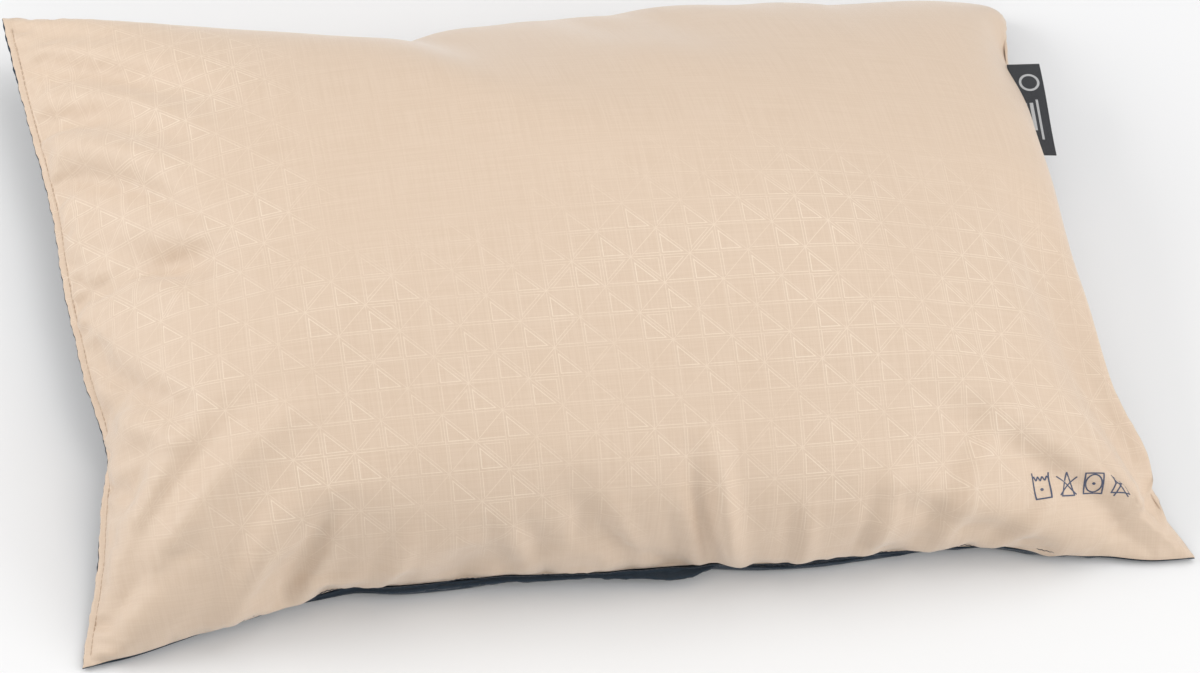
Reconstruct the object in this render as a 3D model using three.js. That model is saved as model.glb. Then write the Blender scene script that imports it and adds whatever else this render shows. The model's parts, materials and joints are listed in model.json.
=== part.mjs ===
// Camp pillow: two rectangular cloth panels sewn face to face on three sides, turned out, stuffed with
// fibre and closed by a row of top stitching along one short end. Millimetres, +Z up. The origin is the
// middle of the flat underside, +X points from the stitched closing end to the end with the tag.

import * as THREE from "three";
import { mergeVertices } from "three/addons/utils/BufferGeometryUtils.js";

// ---- driving dimensions ----------------------------------------------------------------------------

// the stuffed outline, taken corner to corner
const cornerLength = 580; // along X
const cornerWidth = 392; // along Y
const closingPull = 12; // how far the middle of the stitched short end draws in
const tagEndPull = 44; // the same for the short end that carries the tag
const sidePull = 16; // the same for each long side
const pullPower = 4; // 2 draws a side in as a parabola, more keeps its middle straighter

// heights
const loft = 120; // top of the crown above the floor
const seamHeight = 36; // where the two panels meet
const crownFullness = 2.5; // power of the crown's section: 2 is an ellipse, more is boxier
const floorShare = 0.85; // the underside is flat where the crown is at least this much of its height

// cloth and filling
const clothWall = 1.2; // face cloth with its seam allowances pressed flat
const panelGap = 0.3; // clearance left between the panels at the seam
const allowanceRoom = 5; // room for the turned-in seam allowances, between the cloth and the filling
const fillClearance = 1; // above and below the filling

// the stitched closing end
const lipWidth = 7; // the two folded edges lie flat together over this width
const topStitchInset = 3; // the stitch line's distance from the outer edge of the lip
const topStitchEndMargin = 10; // where the stitch line stops, short of each corner

// threads
const threadRadius = 0.45;
const topStitchClearance = 0.3; // above and below the lip
const seamThreadClearance = 0.6; // between a hidden seam thread and the cloth beside it
const seamThreadEndMargin = 16; // where each hidden thread stops, short of each corner

// the folded woven tag, caught in the short seam
const tagLength = 60; // along the seam
const tagReach = 16; // out from the seam
const tagThickness = 1.1; // two plies, with a round fold along the outer edge
const tagCornerDistance = 119; // across the pillow, from its rear corners to the middle of the tag
const tagSeamClearance = 1.5; // the hinge line is this far outside the seam

// mesh fineness
const columns = 30;
const rows = 20;
const threadSides = 8;

// ---- the outline and the two surfaces ---------------------------------------------------------------

const halfLength = cornerLength / 2;
const halfWidth = cornerWidth / 2;

// How much of a pull reaches a point along its side: all of it in the middle, none at the corners.
const pullShare = (s) => 1 - Math.abs(s) ** pullPower;

// x of the closing end, of the tag end, and |y| of a long side, at a place s = -1..1 along that side.
const closingEndX = (s) => -halfLength + closingPull * pullShare(s);
const tagEndX = (s) => halfLength - tagEndPull * pullShare(s);
const longSideY = (s) => halfWidth - sidePull * pullShare(s);

// The section of the crown across the pillow, 1 in the middle and 0 at the seam.
const section = (s) => Math.sqrt(Math.max(0, 1 - Math.abs(s) ** crownFullness));

// Places along a side, closer together near its two ends, where the surface is steep.
function spread(count) {
  return Array.from({ length: count + 1 }, (_, i) => -Math.cos((Math.PI * i) / count));
}

// A grid of points over the stuffed part of the pillow, inside the lip. inset shrinks the outline on every
// side; height(share) gives z, where share runs from 0 at the seam to 1 in the middle.
function stuffedSurface(inset, height) {
  return spread(rows).map((v) => {
    const endPlace = v * (1 - inset / halfWidth);
    const left = closingEndX(endPlace) + lipWidth + inset;
    const right = tagEndX(endPlace) - inset;
    return spread(columns).map((u) => {
      const x = left + ((right - left) * (u + 1)) / 2;
      const y = (longSideY(u) - inset) * v;
      return new THREE.Vector3(x, y, height(section(u) * section(v)));
    });
  });
}

// The same grid with one more column in front of it: the outer edge of the flat lip.
function panelSurface(inset, height) {
  const lipShift = new THREE.Vector3(-lipWidth, 0, 0);
  return stuffedSurface(inset, height).map((line) => [line[0].clone().add(lipShift), ...line]);
}

const crownRise = loft - seamHeight - panelGap / 2;
const bellyDrop = seamHeight - panelGap / 2;
const crownZ = (offset) => (share) => seamHeight + panelGap / 2 + (crownRise - offset) * share;
const bellyShape = (share) => 1 - (1 - Math.min(1, share / floorShare)) ** 2;
const bellyZ = (offset) => (share) => seamHeight - panelGap / 2 - (bellyDrop - offset) * bellyShape(share);

// ---- turning grids into closed bodies ---------------------------------------------------------------

function pushQuad(positions, a, b, c, d) {
  for (const p of [a, b, c, a, c, d]) positions.push(p.x, p.y, p.z);
}

// The grid's own faces, seen from +Z when up is true and from -Z otherwise.
function pushGrid(positions, grid, up) {
  for (let j = 0; j + 1 < grid.length; j += 1) {
    for (let i = 0; i + 1 < grid[j].length; i += 1) {
      const quad = [grid[j][i], grid[j][i + 1], grid[j + 1][i + 1], grid[j + 1][i]];
      if (!up) quad.reverse();
      pushQuad(positions, ...quad);
    }
  }
}

// The points round a grid's edge, anticlockwise from above.
function rim(grid) {
  const last = grid.length - 1;
  const end = grid[0].length - 1;
  return [
    ...grid[0].slice(0, end),
    ...grid.slice(0, last).map((line) => line[end]),
    ...grid[last].slice(1).reverse(),
    ...grid.slice(1).reverse().map((line) => line[0]),
  ];
}

// A closed body between a top and a bottom grid, with a band of faces joining their rims.
function bodyBetween(top, bottom) {
  const positions = [];
  pushGrid(positions, top, true);
  pushGrid(positions, bottom, false);
  const upper = rim(top);
  const lower = rim(bottom);
  for (let i = 0; i < upper.length; i += 1) {
    const next = (i + 1) % upper.length;
    pushQuad(positions, lower[i], lower[next], upper[next], upper[i]);
  }
  const geometry = new THREE.BufferGeometry();
  geometry.setAttribute("position", new THREE.Float32BufferAttribute(positions, 3));
  const merged = mergeVertices(geometry, 1e-4);
  merged.computeVertexNormals();
  return merged;
}

// ---- materials and placing --------------------------------------------------------------------------

const faceCloth = new THREE.MeshStandardMaterial({ color: 0xe7d1b8, roughness: 0.55, metalness: 0 });
const backCloth = new THREE.MeshStandardMaterial({ color: 0x233241, roughness: 0.8, metalness: 0 });
const fibre = new THREE.MeshStandardMaterial({ color: 0xf4f3f0, roughness: 0.95, metalness: 0 });
const faceThread = new THREE.MeshStandardMaterial({ color: 0xe2ccb2, roughness: 0.6, metalness: 0 });
const backThread = new THREE.MeshStandardMaterial({ color: 0x263544, roughness: 0.6, metalness: 0 });
const tagCloth = new THREE.MeshStandardMaterial({ color: 0x1c2026, roughness: 0.7, metalness: 0 });

const pillow = new THREE.Group();

function add(name, geometry, material) {
  const mesh = new THREE.Mesh(geometry, material);
  mesh.name = name;
  pillow.add(mesh);
  return mesh;
}

// A round thread along a list of points.
function threadAlong(points, steps) {
  const circle = new THREE.Shape();
  circle.absarc(0, 0, threadRadius, 0, Math.PI * 2);
  return new THREE.ExtrudeGeometry(circle, {
    extrudePath: new THREE.CatmullRomCurve3(points),
    steps,
    curveSegments: threadSides,
  });
}

// ---- the covers and the filling ---------------------------------------------------------------------

// Moves a grid's outermost points by one cloth thickness, so that a panel keeps its wall at the seam.
function liftRim(grid, lift) {
  for (const point of rim(grid)) point.z += lift;
  for (const line of grid.slice(1, -1)) line[1].z += lift;
  return grid;
}

// The panels are bowls: each is the body between its outer and its inner surface, open at the seam.
function makeFrontCover() {
  const outer = liftRim(panelSurface(0, crownZ(0)), clothWall);
  return bodyBetween(outer, panelSurface(clothWall, crownZ(clothWall)));
}

function makeBackCover() {
  const outer = liftRim(panelSurface(0, bellyZ(0)), -clothWall);
  return bodyBetween(panelSurface(clothWall, bellyZ(clothWall)), outer);
}

function makeFill() {
  const inset = clothWall + allowanceRoom;
  const crown = stuffedSurface(inset, crownZ(clothWall + fillClearance));
  const belly = stuffedSurface(inset, bellyZ(clothWall + fillClearance));
  return bodyBetween(crown, belly);
}

add("front_cover", makeFrontCover(), faceCloth);
add("back_cover", makeBackCover(), backCloth);
add("fibre_fill", makeFill(), fibre);

// ---- the threads ------------------------------------------------------------------------------------

// Places from one end of a side to the other, stopping short of both corners by margin.
function placesAlong(sideLength, margin, count) {
  const reach = 1 - (2 * margin) / sideLength;
  return Array.from({ length: count + 1 }, (_, i) => reach * (-1 + (2 * i) / count));
}

// The two rows of top stitching that close the short end: one on the front, one on the back.
const topStitchLift = panelGap / 2 + clothWall + topStitchClearance + threadRadius;
for (const [name, side, material] of [
  ["closing_stitch_front", 1, faceThread],
  ["closing_stitch_back", -1, backThread],
]) {
  const points = placesAlong(cornerWidth, topStitchEndMargin, 16).map(
    (s) => new THREE.Vector3(closingEndX(s) + topStitchInset, halfWidth * s, seamHeight + side * topStitchLift),
  );
  add(name, threadAlong(points, 16), material);
}

// The hidden threads of the three plain seams, lying just inside the cloth at the seam's height.
const seamLineDepth = clothWall + seamThreadClearance + threadRadius;
const sidePlaces = placesAlong(cornerLength, seamThreadEndMargin, 20);
const endPlaces = placesAlong(cornerWidth, seamThreadEndMargin, 16);
const longSeam = (side) =>
  sidePlaces.map((s) => new THREE.Vector3(halfLength * s, side * (longSideY(s) - seamLineDepth), seamHeight));
add("front_seam_thread", threadAlong(longSeam(-1), 20), backThread);
add("rear_seam_thread", threadAlong(longSeam(1), 20), backThread);
add(
  "tag_end_seam_thread",
  threadAlong(
    endPlaces.map((s) => new THREE.Vector3(tagEndX(s) - seamLineDepth, halfWidth * s, seamHeight)),
    16,
  ),
  backThread,
);

// ---- the tag ----------------------------------------------------------------------------------------

// The tag hangs on a line through its inner edge, parallel to the short end's seam at that place.
const tagCentreY = halfWidth - tagCornerDistance;
const tagPlace = tagCentreY / halfWidth;
const tagSlope = Math.atan2(pullPower * tagEndPull * tagPlace ** (pullPower - 1), halfWidth);
const tagHolder = new THREE.Group();
tagHolder.position.set(tagEndX(tagPlace) + tagSeamClearance, tagCentreY, seamHeight);
tagHolder.rotation.z = -tagSlope;
pillow.add(tagHolder);

const tagFoldRadius = tagThickness / 2;
const tagSection = new THREE.Shape();
tagSection.moveTo(0, -tagThickness / 2);
tagSection.lineTo(tagReach - tagFoldRadius, -tagThickness / 2);
tagSection.absarc(tagReach - tagFoldRadius, 0, tagFoldRadius, -Math.PI / 2, Math.PI / 2, false);
tagSection.lineTo(0, tagThickness / 2);
tagSection.closePath();
const tagGeometry = new THREE.ExtrudeGeometry(tagSection, { depth: tagLength, bevelEnabled: false, curveSegments: 6 });
tagGeometry.rotateX(Math.PI / 2);
tagGeometry.translate(0, tagLength / 2, 0);
const tag = new THREE.Mesh(tagGeometry, tagCloth);
tag.name = "side_tag";
tagHolder.add(tag);

export default pillow;
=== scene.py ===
"""A stuffed camp pillow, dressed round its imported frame: two sewn cloth panels blown up by a cloth
simulation, their filling, seams, closing stitches, woven tag and printed care marks."""

import json
import logging
import math
from dataclasses import dataclass, field
from enum import Enum

import bpy
import numpy as np
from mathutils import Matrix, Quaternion, Vector


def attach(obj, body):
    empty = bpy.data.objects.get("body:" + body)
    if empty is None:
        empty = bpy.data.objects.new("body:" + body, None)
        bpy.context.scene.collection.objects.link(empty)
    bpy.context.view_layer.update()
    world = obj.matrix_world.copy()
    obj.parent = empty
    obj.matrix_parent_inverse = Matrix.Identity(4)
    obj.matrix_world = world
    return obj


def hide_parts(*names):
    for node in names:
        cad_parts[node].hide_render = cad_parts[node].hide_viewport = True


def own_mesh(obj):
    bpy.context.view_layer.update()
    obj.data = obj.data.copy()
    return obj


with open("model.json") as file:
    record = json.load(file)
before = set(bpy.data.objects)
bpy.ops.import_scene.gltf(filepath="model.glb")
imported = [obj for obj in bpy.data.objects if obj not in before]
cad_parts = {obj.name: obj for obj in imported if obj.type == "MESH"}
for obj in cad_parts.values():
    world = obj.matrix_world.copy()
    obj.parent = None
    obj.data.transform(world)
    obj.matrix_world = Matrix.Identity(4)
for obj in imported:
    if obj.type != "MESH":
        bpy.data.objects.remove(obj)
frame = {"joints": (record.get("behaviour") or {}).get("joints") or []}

LOG = logging.getLogger("camp_pillow")
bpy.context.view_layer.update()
CUT_MAP = "cut"  # the UV map that holds a place on the flat cloth, in metres


# ---- names for choices --------------------------------------------------------------------------------


class Face(Enum):
    """The two panels; the value is the side of the seam that each one swells to."""

    FRONT = 1
    BACK = -1


class Edge(Enum):
    """The four sides of the cut cloth."""

    CLOSING = "closing"
    TAG_END = "tag_end"
    NEAR = "near"
    FAR = "far"


# ---- small helpers for grids of points ----------------------------------------------------------------


def smooth_step(low: float, high: float, value: np.ndarray) -> np.ndarray:
    """Rises smoothly from 0 at low to 1 at high.

    Args:
        low: where the rise starts.
        high: where it ends; lower than low for a fall.
        value: the places asked about.

    Returns:
        The smoothed share at each place.
    """
    share = np.clip((value - low) / (high - low), 0.0, 1.0)
    return share * share * (3.0 - 2.0 * share)


def spline_matrix(count: int, places: np.ndarray) -> np.ndarray:
    """Weights of a cubic that passes through every point of a row, at places along it.

    Args:
        count: points in the row.
        places: where the new points lie, counted in old points from 0 to count - 1.

    Returns:
        A matrix with one row for each new point and one column for each old one.
    """
    weights = np.zeros((len(places), count))
    for row, spot in enumerate(places):
        start = min(int(spot), count - 2)
        t = spot - start
        shares = (
            0.5 * (-t + 2 * t**2 - t**3),
            0.5 * (2 - 5 * t**2 + 3 * t**3),
            0.5 * (t + 4 * t**2 - 3 * t**3),
            0.5 * (-(t**2) + t**3),
        )
        for step, share in enumerate(shares):
            column = start - 1 + step
            if column < 0:  # the row goes on straight past its end
                weights[row, 0] += 2 * share
                weights[row, 1] -= share
            elif column > count - 1:
                weights[row, count - 1] += 2 * share
                weights[row, count - 2] -= share
            else:
                weights[row, column] += share
    return weights


def fine_places(count: int, factor: int, near_edge: tuple[float, ...] = (0.1, 0.22)) -> np.ndarray:
    """Places along a row of points for a finer one, with extra ones close to both ends.

    Args:
        count: points in the old row.
        factor: steps per old gap.
        near_edge: the extra places, in old gaps from each end.

    Returns:
        The places, in order.
    """
    even = np.linspace(0, count - 1, (count - 1) * factor + 1)
    extra = np.array(near_edge)
    return np.unique(np.concatenate([even, extra, count - 1 - extra]))


def resample(grid: np.ndarray, down: np.ndarray, across: np.ndarray) -> np.ndarray:
    """A grid of points at new places, on the smooth surface through the old ones.

    Args:
        grid: rows by columns by 3.
        down: places along the columns of points.
        across: places along the rows.

    Returns:
        The new grid.
    """
    rows = spline_matrix(grid.shape[0], down)
    columns = spline_matrix(grid.shape[1], across)
    return np.einsum("ij,jkc,lk->ilc", rows, grid, columns, optimize=True)


def smooth_route(points: tuple[tuple[float, float, float], ...], shares: np.ndarray) -> np.ndarray:
    """Points at shares of the length of a smooth route through a few given points.

    Args:
        points: what the route passes through.
        shares: from 0 at the first point to 1 at the last.

    Returns:
        One point for each share.
    """
    given = np.array(points)
    dense = spline_matrix(len(given), np.linspace(0, len(given) - 1, 40 * len(given))) @ given
    lengths = np.concatenate([[0.0], np.cumsum(np.linalg.norm(np.diff(dense, axis=0), axis=1))])
    return np.stack([np.interp(shares * lengths[-1], lengths, dense[:, axis]) for axis in range(3)], axis=1)


def unit(vectors: np.ndarray) -> np.ndarray:
    """The same directions with length 1."""
    return vectors / np.maximum(np.linalg.norm(vectors, axis=-1, keepdims=True), 1e-12)


def grid_normals(grid: np.ndarray) -> np.ndarray:
    """Unit normals of a grid, along columns crossed with rows, so up on a grid that lies flat."""
    along = np.gradient(grid, axis=1)
    aside = np.gradient(grid, axis=0)
    normal = np.cross(along, aside)
    return normal / np.maximum(np.linalg.norm(normal, axis=2, keepdims=True), 1e-12)


def relax(grid: np.ndarray, rounds: int, share: np.ndarray) -> np.ndarray:
    """Evens out the inside of a grid, leaving its edge where it is.

    Args:
        grid: rows by columns by 3.
        rounds: how many times each point moves toward its neighbours' middle.
        share: how far each point of the grid moves each time, from 0 to 1.

    Returns:
        The evened grid.
    """
    out = grid.copy()
    for _ in range(rounds):
        middle = (out[:-2, 1:-1] + out[2:, 1:-1] + out[1:-1, :-2] + out[1:-1, 2:]) / 4
        out[1:-1, 1:-1] += share[1:-1, 1:-1, None] * (middle - out[1:-1, 1:-1])
    return out


def wander(place: np.ndarray, waves: tuple[tuple[float, float], ...]) -> np.ndarray:
    """An uneven wave between about -1 and 1, the same every run.

    Args:
        place: distances along an edge, in metres.
        waves: wavelength in metres and phase in radians of each part.

    Returns:
        The wave's height at each place.
    """
    total = sum(np.sin(2 * math.pi * place / length + phase) for length, phase in waves)
    return total / len(waves)


def mesh_piece(
    name: str,
    points: list | np.ndarray,
    faces: list,
    uvs: np.ndarray | None = None,
    smooth: bool = True,
) -> bpy.types.Object:
    """Makes a mesh object at the origin.

    Args:
        name: the object's name.
        points: its vertices, in metres.
        faces: vertex numbers of each face.
        uvs: a place on the flat cloth for each vertex, or None.
        smooth: whether it is shaded smoothly.

    Returns:
        The new object, linked to the scene.
    """
    mesh = bpy.data.meshes.new(name)
    mesh.from_pydata([tuple(point) for point in points], [], faces)
    mesh.update()
    if uvs is not None:
        layer = mesh.uv_layers.new(name=CUT_MAP)
        loops = np.zeros(len(mesh.loops), np.int32)
        mesh.loops.foreach_get("vertex_index", loops)
        layer.data.foreach_set("uv", np.asarray(uvs, np.float32)[loops].ravel())
    if smooth:
        mesh.polygons.foreach_set("use_smooth", [True] * len(mesh.polygons))
    piece = bpy.data.objects.new(name, mesh)
    bpy.context.scene.collection.objects.link(piece)
    return piece


def grid_faces(rows: int, columns: int, up: bool, first: int = 0) -> list[tuple[int, int, int, int]]:
    """The quads of a grid whose points are numbered row by row.

    Args:
        rows: rows of points.
        columns: points in a row.
        up: True to face along the grid's normals.
        first: the number of the grid's first point.

    Returns:
        Four vertex numbers for each quad.
    """
    faces = []
    for row in range(rows - 1):
        for column in range(columns - 1):
            a = first + row * columns + column
            quad = (a, a + 1, a + columns + 1, a + columns)
            faces.append(quad if up else quad[::-1])
    return faces


def swept_tube(path: np.ndarray, radius: np.ndarray, sides: int) -> tuple[list, list]:
    """A closed round tube along a path.

    Args:
        path: points along the middle.
        radius: the radius at each point.
        sides: how many sides it has.

    Returns:
        Its points and its faces.
    """
    tangents = np.gradient(path, axis=0)
    tangents /= np.maximum(np.linalg.norm(tangents, axis=1, keepdims=True), 1e-12)
    side = np.cross(tangents, (0.0, 0.0, 1.0))
    side /= np.maximum(np.linalg.norm(side, axis=1, keepdims=True), 1e-12)
    over = np.cross(side, tangents)
    angles = np.linspace(0, 2 * math.pi, sides, endpoint=False)
    rings = (
        path[:, None]
        + radius[:, None, None] * np.cos(angles)[None, :, None] * side[:, None]
        + radius[:, None, None] * np.sin(angles)[None, :, None] * over[:, None]
    )
    points = list(rings.reshape(-1, 3))
    faces = []
    for ring in range(len(path) - 1):
        for number in range(sides):
            after = (number + 1) % sides
            a = ring * sides
            faces.append((a + number, a + after, a + sides + after, a + sides + number))
    faces.append(tuple(range(sides))[::-1])
    faces.append(tuple(range((len(path) - 1) * sides, len(path) * sides)))
    return points, faces


# ---- shader graphs ------------------------------------------------------------------------------------

Socket = bpy.types.NodeSocket


class Graph:
    """Adds nodes to one node tree and joins them."""

    def __init__(self, tree: bpy.types.NodeTree) -> None:
        """Keeps the tree that the nodes go into."""
        self.tree = tree

    def node(self, kind: str, **settings: object) -> bpy.types.Node:
        """Adds a node of a kind and sets its own settings."""
        made = self.tree.nodes.new(kind)
        for name, value in settings.items():
            setattr(made, name, value)
        return made

    def feed(self, socket: Socket, value: object) -> None:
        """Joins a socket to another, or sets its number or colour."""
        if isinstance(value, Socket):
            self.tree.links.new(value, socket)
        else:
            socket.default_value = value

    def math(self, operation: str, *values: object, clamp: bool = False) -> Socket:
        """One arithmetic step.

        Args:
            operation: the Math node's operation.
            values: its inputs, numbers or sockets.
            clamp: True to keep the result between 0 and 1.

        Returns:
            The result's socket.
        """
        made = self.node("ShaderNodeMath", operation=operation, use_clamp=clamp)
        for number, value in enumerate(values):
            self.feed(made.inputs[number], value)
        return made.outputs[0]

    def ramp(self, value: Socket, low: float | Socket, high: float | Socket, start: float = 0.0,
             end: float = 1.0) -> Socket:
        """A smooth rise of a value between two places.

        Args:
            value: what is mapped.
            low: where the result is start.
            high: where the result is end.
            start: the result at low.
            end: the result at high.

        Returns:
            The mapped value's socket.
        """
        made = self.node("ShaderNodeMapRange", interpolation_type="SMOOTHSTEP", clamp=True)
        names = ("Value", "From Min", "From Max", "To Min", "To Max")
        for name, given in zip(names, (value, low, high, start, end)):
            self.feed(made.inputs[name], given)
        return made.outputs["Result"]

    def mix(self, share: object, first: object, second: object, blend: str = "MIX") -> Socket:
        """Mixes two colours by a share."""
        made = self.node("ShaderNodeMix", data_type="RGBA", blend_type=blend)
        self.feed(made.inputs["Factor"], share)
        self.feed(made.inputs["A"], first)
        self.feed(made.inputs["B"], second)
        return made.outputs["Result"]

    def parts(self, vector: Socket) -> tuple[Socket, Socket]:
        """The first two parts of a vector."""
        made = self.node("ShaderNodeSeparateXYZ")
        self.feed(made.inputs[0], vector)
        return made.outputs[0], made.outputs[1]

    def join(self, x: object, y: object, z: object = 0.0) -> Socket:
        """A vector from its parts."""
        made = self.node("ShaderNodeCombineXYZ")
        for number, value in enumerate((x, y, z)):
            self.feed(made.inputs[number], value)
        return made.outputs[0]

    def noise(self, vector: Socket, scale: float, detail: float = 2.0, roughness: float = 0.5) -> Socket:
        """Smooth noise, about 0.5 in the mean."""
        made = self.node("ShaderNodeTexNoise")
        self.feed(made.inputs["Vector"], vector)
        self.feed(made.inputs["Scale"], scale)
        self.feed(made.inputs["Detail"], detail)
        self.feed(made.inputs["Roughness"], roughness)
        return made.outputs["Fac"]

    def group(self, tree: bpy.types.NodeTree, **values: object) -> bpy.types.Node:
        """Places a node group, with its inputs named by words joined with underscores."""
        made = self.node("ShaderNodeGroup", node_tree=tree)
        for name, value in values.items():
            self.feed(made.inputs[name.replace("_", " ").capitalize()], value)
        return made


def new_group(name: str, inputs: dict[str, tuple[str, object]], outputs: dict[str, str]) -> tuple:
    """Starts a node group with named sockets.

    Args:
        name: the group's name.
        inputs: socket kind and default for each input; a default of None is left alone.
        outputs: socket kind for each output.

    Returns:
        The tree, its Graph, the input node's sockets and the output node's sockets, by name.
    """
    tree = bpy.data.node_groups.new(name, "ShaderNodeTree")
    for socket_name, (kind, default) in inputs.items():
        socket = tree.interface.new_socket(name=socket_name, in_out="INPUT", socket_type=kind)
        if default is not None:
            socket.default_value = default
    for socket_name, kind in outputs.items():
        tree.interface.new_socket(name=socket_name, in_out="OUTPUT", socket_type=kind)
    graph = Graph(tree)
    entry = graph.node("NodeGroupInput").outputs
    leave = graph.node("NodeGroupOutput").inputs
    return tree, graph, entry, leave


FLOAT = "NodeSocketFloat"
VECTOR = "NodeSocketVector"


class Effects:
    """The shared effects, each a node group built once."""

    def __init__(self) -> None:
        """Builds every group."""
        self.weave = self._weave()
        self.slub = self._slub()
        self.lattice = self._lattice()
        self.spot = self._spot()
        self.twist = self._twist()

    @staticmethod
    def _weave() -> bpy.types.NodeTree:
        """Yarns going over and under: a height, and a shade that is low between the yarns, where the cloths
        paint shade.
        """
        tree, g, entry, leave = new_group(
            "woven_yarns",
            {"Cloth": (VECTOR, None), "Pitch": (FLOAT, 0.0004)},
            {"Height": FLOAT, "Shade": FLOAT},
        )
        x, y = g.parts(entry["Cloth"])
        u = g.math("DIVIDE", x, entry["Pitch"])
        v = g.math("DIVIDE", y, entry["Pitch"])
        odd = g.math("FLOORED_MODULO", g.math("ADD", g.math("FLOOR", u), g.math("FLOOR", v)), 2.0)
        warp = g.math("SINE", g.math("MULTIPLY", g.math("FRACT", u), math.pi))
        weft = g.math("SINE", g.math("MULTIPLY", g.math("FRACT", v), math.pi))
        on_warp = g.math("MULTIPLY", warp, odd)
        on_weft = g.math("MULTIPLY", weft, g.math("SUBTRACT", 1.0, odd))
        height = g.math("ADD", on_warp, on_weft)
        g.feed(leave["Height"], height)
        g.feed(leave["Shade"], g.ramp(height, 0.0, 0.45, 0.0, 1.0))
        return tree

    @staticmethod
    def _slub() -> bpy.types.NodeTree:
        """Uneven yarns: long thin streaks both ways."""
        tree, g, entry, leave = new_group(
            "slub_yarns",
            {"Cloth": (VECTOR, None), "Across": (FLOAT, 900.0), "Along": (FLOAT, 22.0)},
            {"Streaks": FLOAT},
        )
        x, y = g.parts(entry["Cloth"])
        weft = g.noise(
            g.join(g.math("MULTIPLY", x, entry["Along"]), g.math("MULTIPLY", y, entry["Across"])), 1.0
        )
        warp = g.noise(
            g.join(g.math("MULTIPLY", x, entry["Across"]), g.math("MULTIPLY", y, entry["Along"]), 7.0), 1.0
        )
        g.feed(leave["Streaks"], g.math("MULTIPLY", g.math("ADD", weft, warp), 0.5))
        return tree

    @staticmethod
    def _lattice() -> bpy.types.NodeTree:
        """A lattice of squares halved by diagonals, with some edges doubled and some triangles inset."""
        tree, g, entry, leave = new_group(
            "line_lattice",
            {
                "Cloth": (VECTOR, None),
                "Cell": (FLOAT, 0.0155),
                "Line": (FLOAT, 0.018),
                "Inset": (FLOAT, 0.095),
            },
            {"Lines": FLOAT},
        )
        x, y = g.parts(entry["Cloth"])
        u = g.math("DIVIDE", x, entry["Cell"])
        v = g.math("DIVIDE", y, entry["Cell"])
        cell_u = g.math("FLOOR", u)
        cell_v = g.math("FLOOR", v)
        odd = g.math("FLOORED_MODULO", g.math("ADD", cell_u, cell_v), 2.0)
        even = g.math("SUBTRACT", 1.0, odd)
        part_u = g.math("FRACT", u)
        part_v = g.math("FRACT", v)
        # mirrored so that every cell's diagonal runs the same way
        mirrored = g.math("SUBTRACT", 1.0, part_u)
        across = g.math("ADD", g.math("MULTIPLY", odd, part_u), g.math("MULTIPLY", even, mirrored))
        over = g.math("SUBTRACT", g.math("ADD", across, part_v), 1.0)
        upper = g.math("GREATER_THAN", over, 0.0)
        lower = g.math("SUBTRACT", 1.0, upper)

        def from_edge(value: Socket) -> Socket:
            """Distance to the triangle's own straight edge, for either half of the cell."""
            turned = g.math("SUBTRACT", 1.0, value)
            return g.math("ADD", g.math("MULTIPLY", lower, value), g.math("MULTIPLY", upper, turned))

        to_upright = from_edge(across)
        to_level = from_edge(part_v)
        to_diagonal = g.math("MULTIPLY", g.math("ABSOLUTE", over), math.sqrt(0.5))
        nearest = g.math("MINIMUM", g.math("MINIMUM", to_upright, to_level), to_diagonal)

        def stroke(distance: Socket, place: object, width: float) -> Socket:
            """A soft line where a distance equals a place; width is a multiple of the Line input."""
            off = g.math("ABSOLUTE", g.math("SUBTRACT", distance, place))
            half = g.math("MULTIPLY", entry["Line"], width)
            return g.ramp(off, g.math("MULTIPLY", half, 0.4), half, 1.0, 0.0)

        chance = g.node("ShaderNodeTexWhiteNoise", noise_dimensions="3D")
        g.feed(chance.inputs["Vector"], g.join(cell_u, cell_v, upper))
        luck = chance.outputs["Value"]
        always = g.math("MULTIPLY", odd, lower)
        sometimes = g.math("MULTIPLY", g.math("GREATER_THAN", luck, 0.72), 0.6)
        inset = g.math(
            "MULTIPLY", stroke(nearest, entry["Inset"], 1.2), g.math("MAXIMUM", always, sometimes)
        )
        inside = g.ramp(nearest, 0.02, 0.05)
        level_half = g.math("MULTIPLY", even, lower)
        upright_half = g.math("MULTIPLY", even, upper)
        level_pair = g.math("MULTIPLY", stroke(to_level, entry["Inset"], 1.1), level_half)
        upright_pair = g.math("MULTIPLY", stroke(to_upright, entry["Inset"], 1.1), upright_half)
        pairs = g.math("MULTIPLY", g.math("MAXIMUM", level_pair, upright_pair), inside)
        edges = g.math("MULTIPLY", stroke(nearest, 0.0, 1.0), g.ramp(luck, 0.0, 1.0, 0.45, 0.8))
        lines = g.math("MAXIMUM", edges, g.math("MAXIMUM", inset, g.math("MULTIPLY", pairs, 0.75)))
        g.feed(leave["Lines"], lines)
        return tree

    @staticmethod
    def _spot() -> bpy.types.NodeTree:
        """A soft oval patch on the cloth, 1 in its middle and 0 outside."""
        tree, g, entry, leave = new_group(
            "soft_patch",
            {
                "Cloth": (VECTOR, None),
                "Middle x": (FLOAT, 0.0),
                "Middle y": (FLOAT, 0.0),
                "Reach x": (FLOAT, 0.1),
                "Reach y": (FLOAT, 0.1),
            },
            {"Patch": FLOAT},
        )
        x, y = g.parts(entry["Cloth"])
        u = g.math("DIVIDE", g.math("SUBTRACT", x, entry["Middle x"]), entry["Reach x"])
        v = g.math("DIVIDE", g.math("SUBTRACT", y, entry["Middle y"]), entry["Reach y"])
        away = g.math("SQRT", g.math("ADD", g.math("MULTIPLY", u, u), g.math("MULTIPLY", v, v)))
        g.feed(leave["Patch"], g.ramp(away, 0.45, 1.0, 1.0, 0.0))
        return tree

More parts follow.
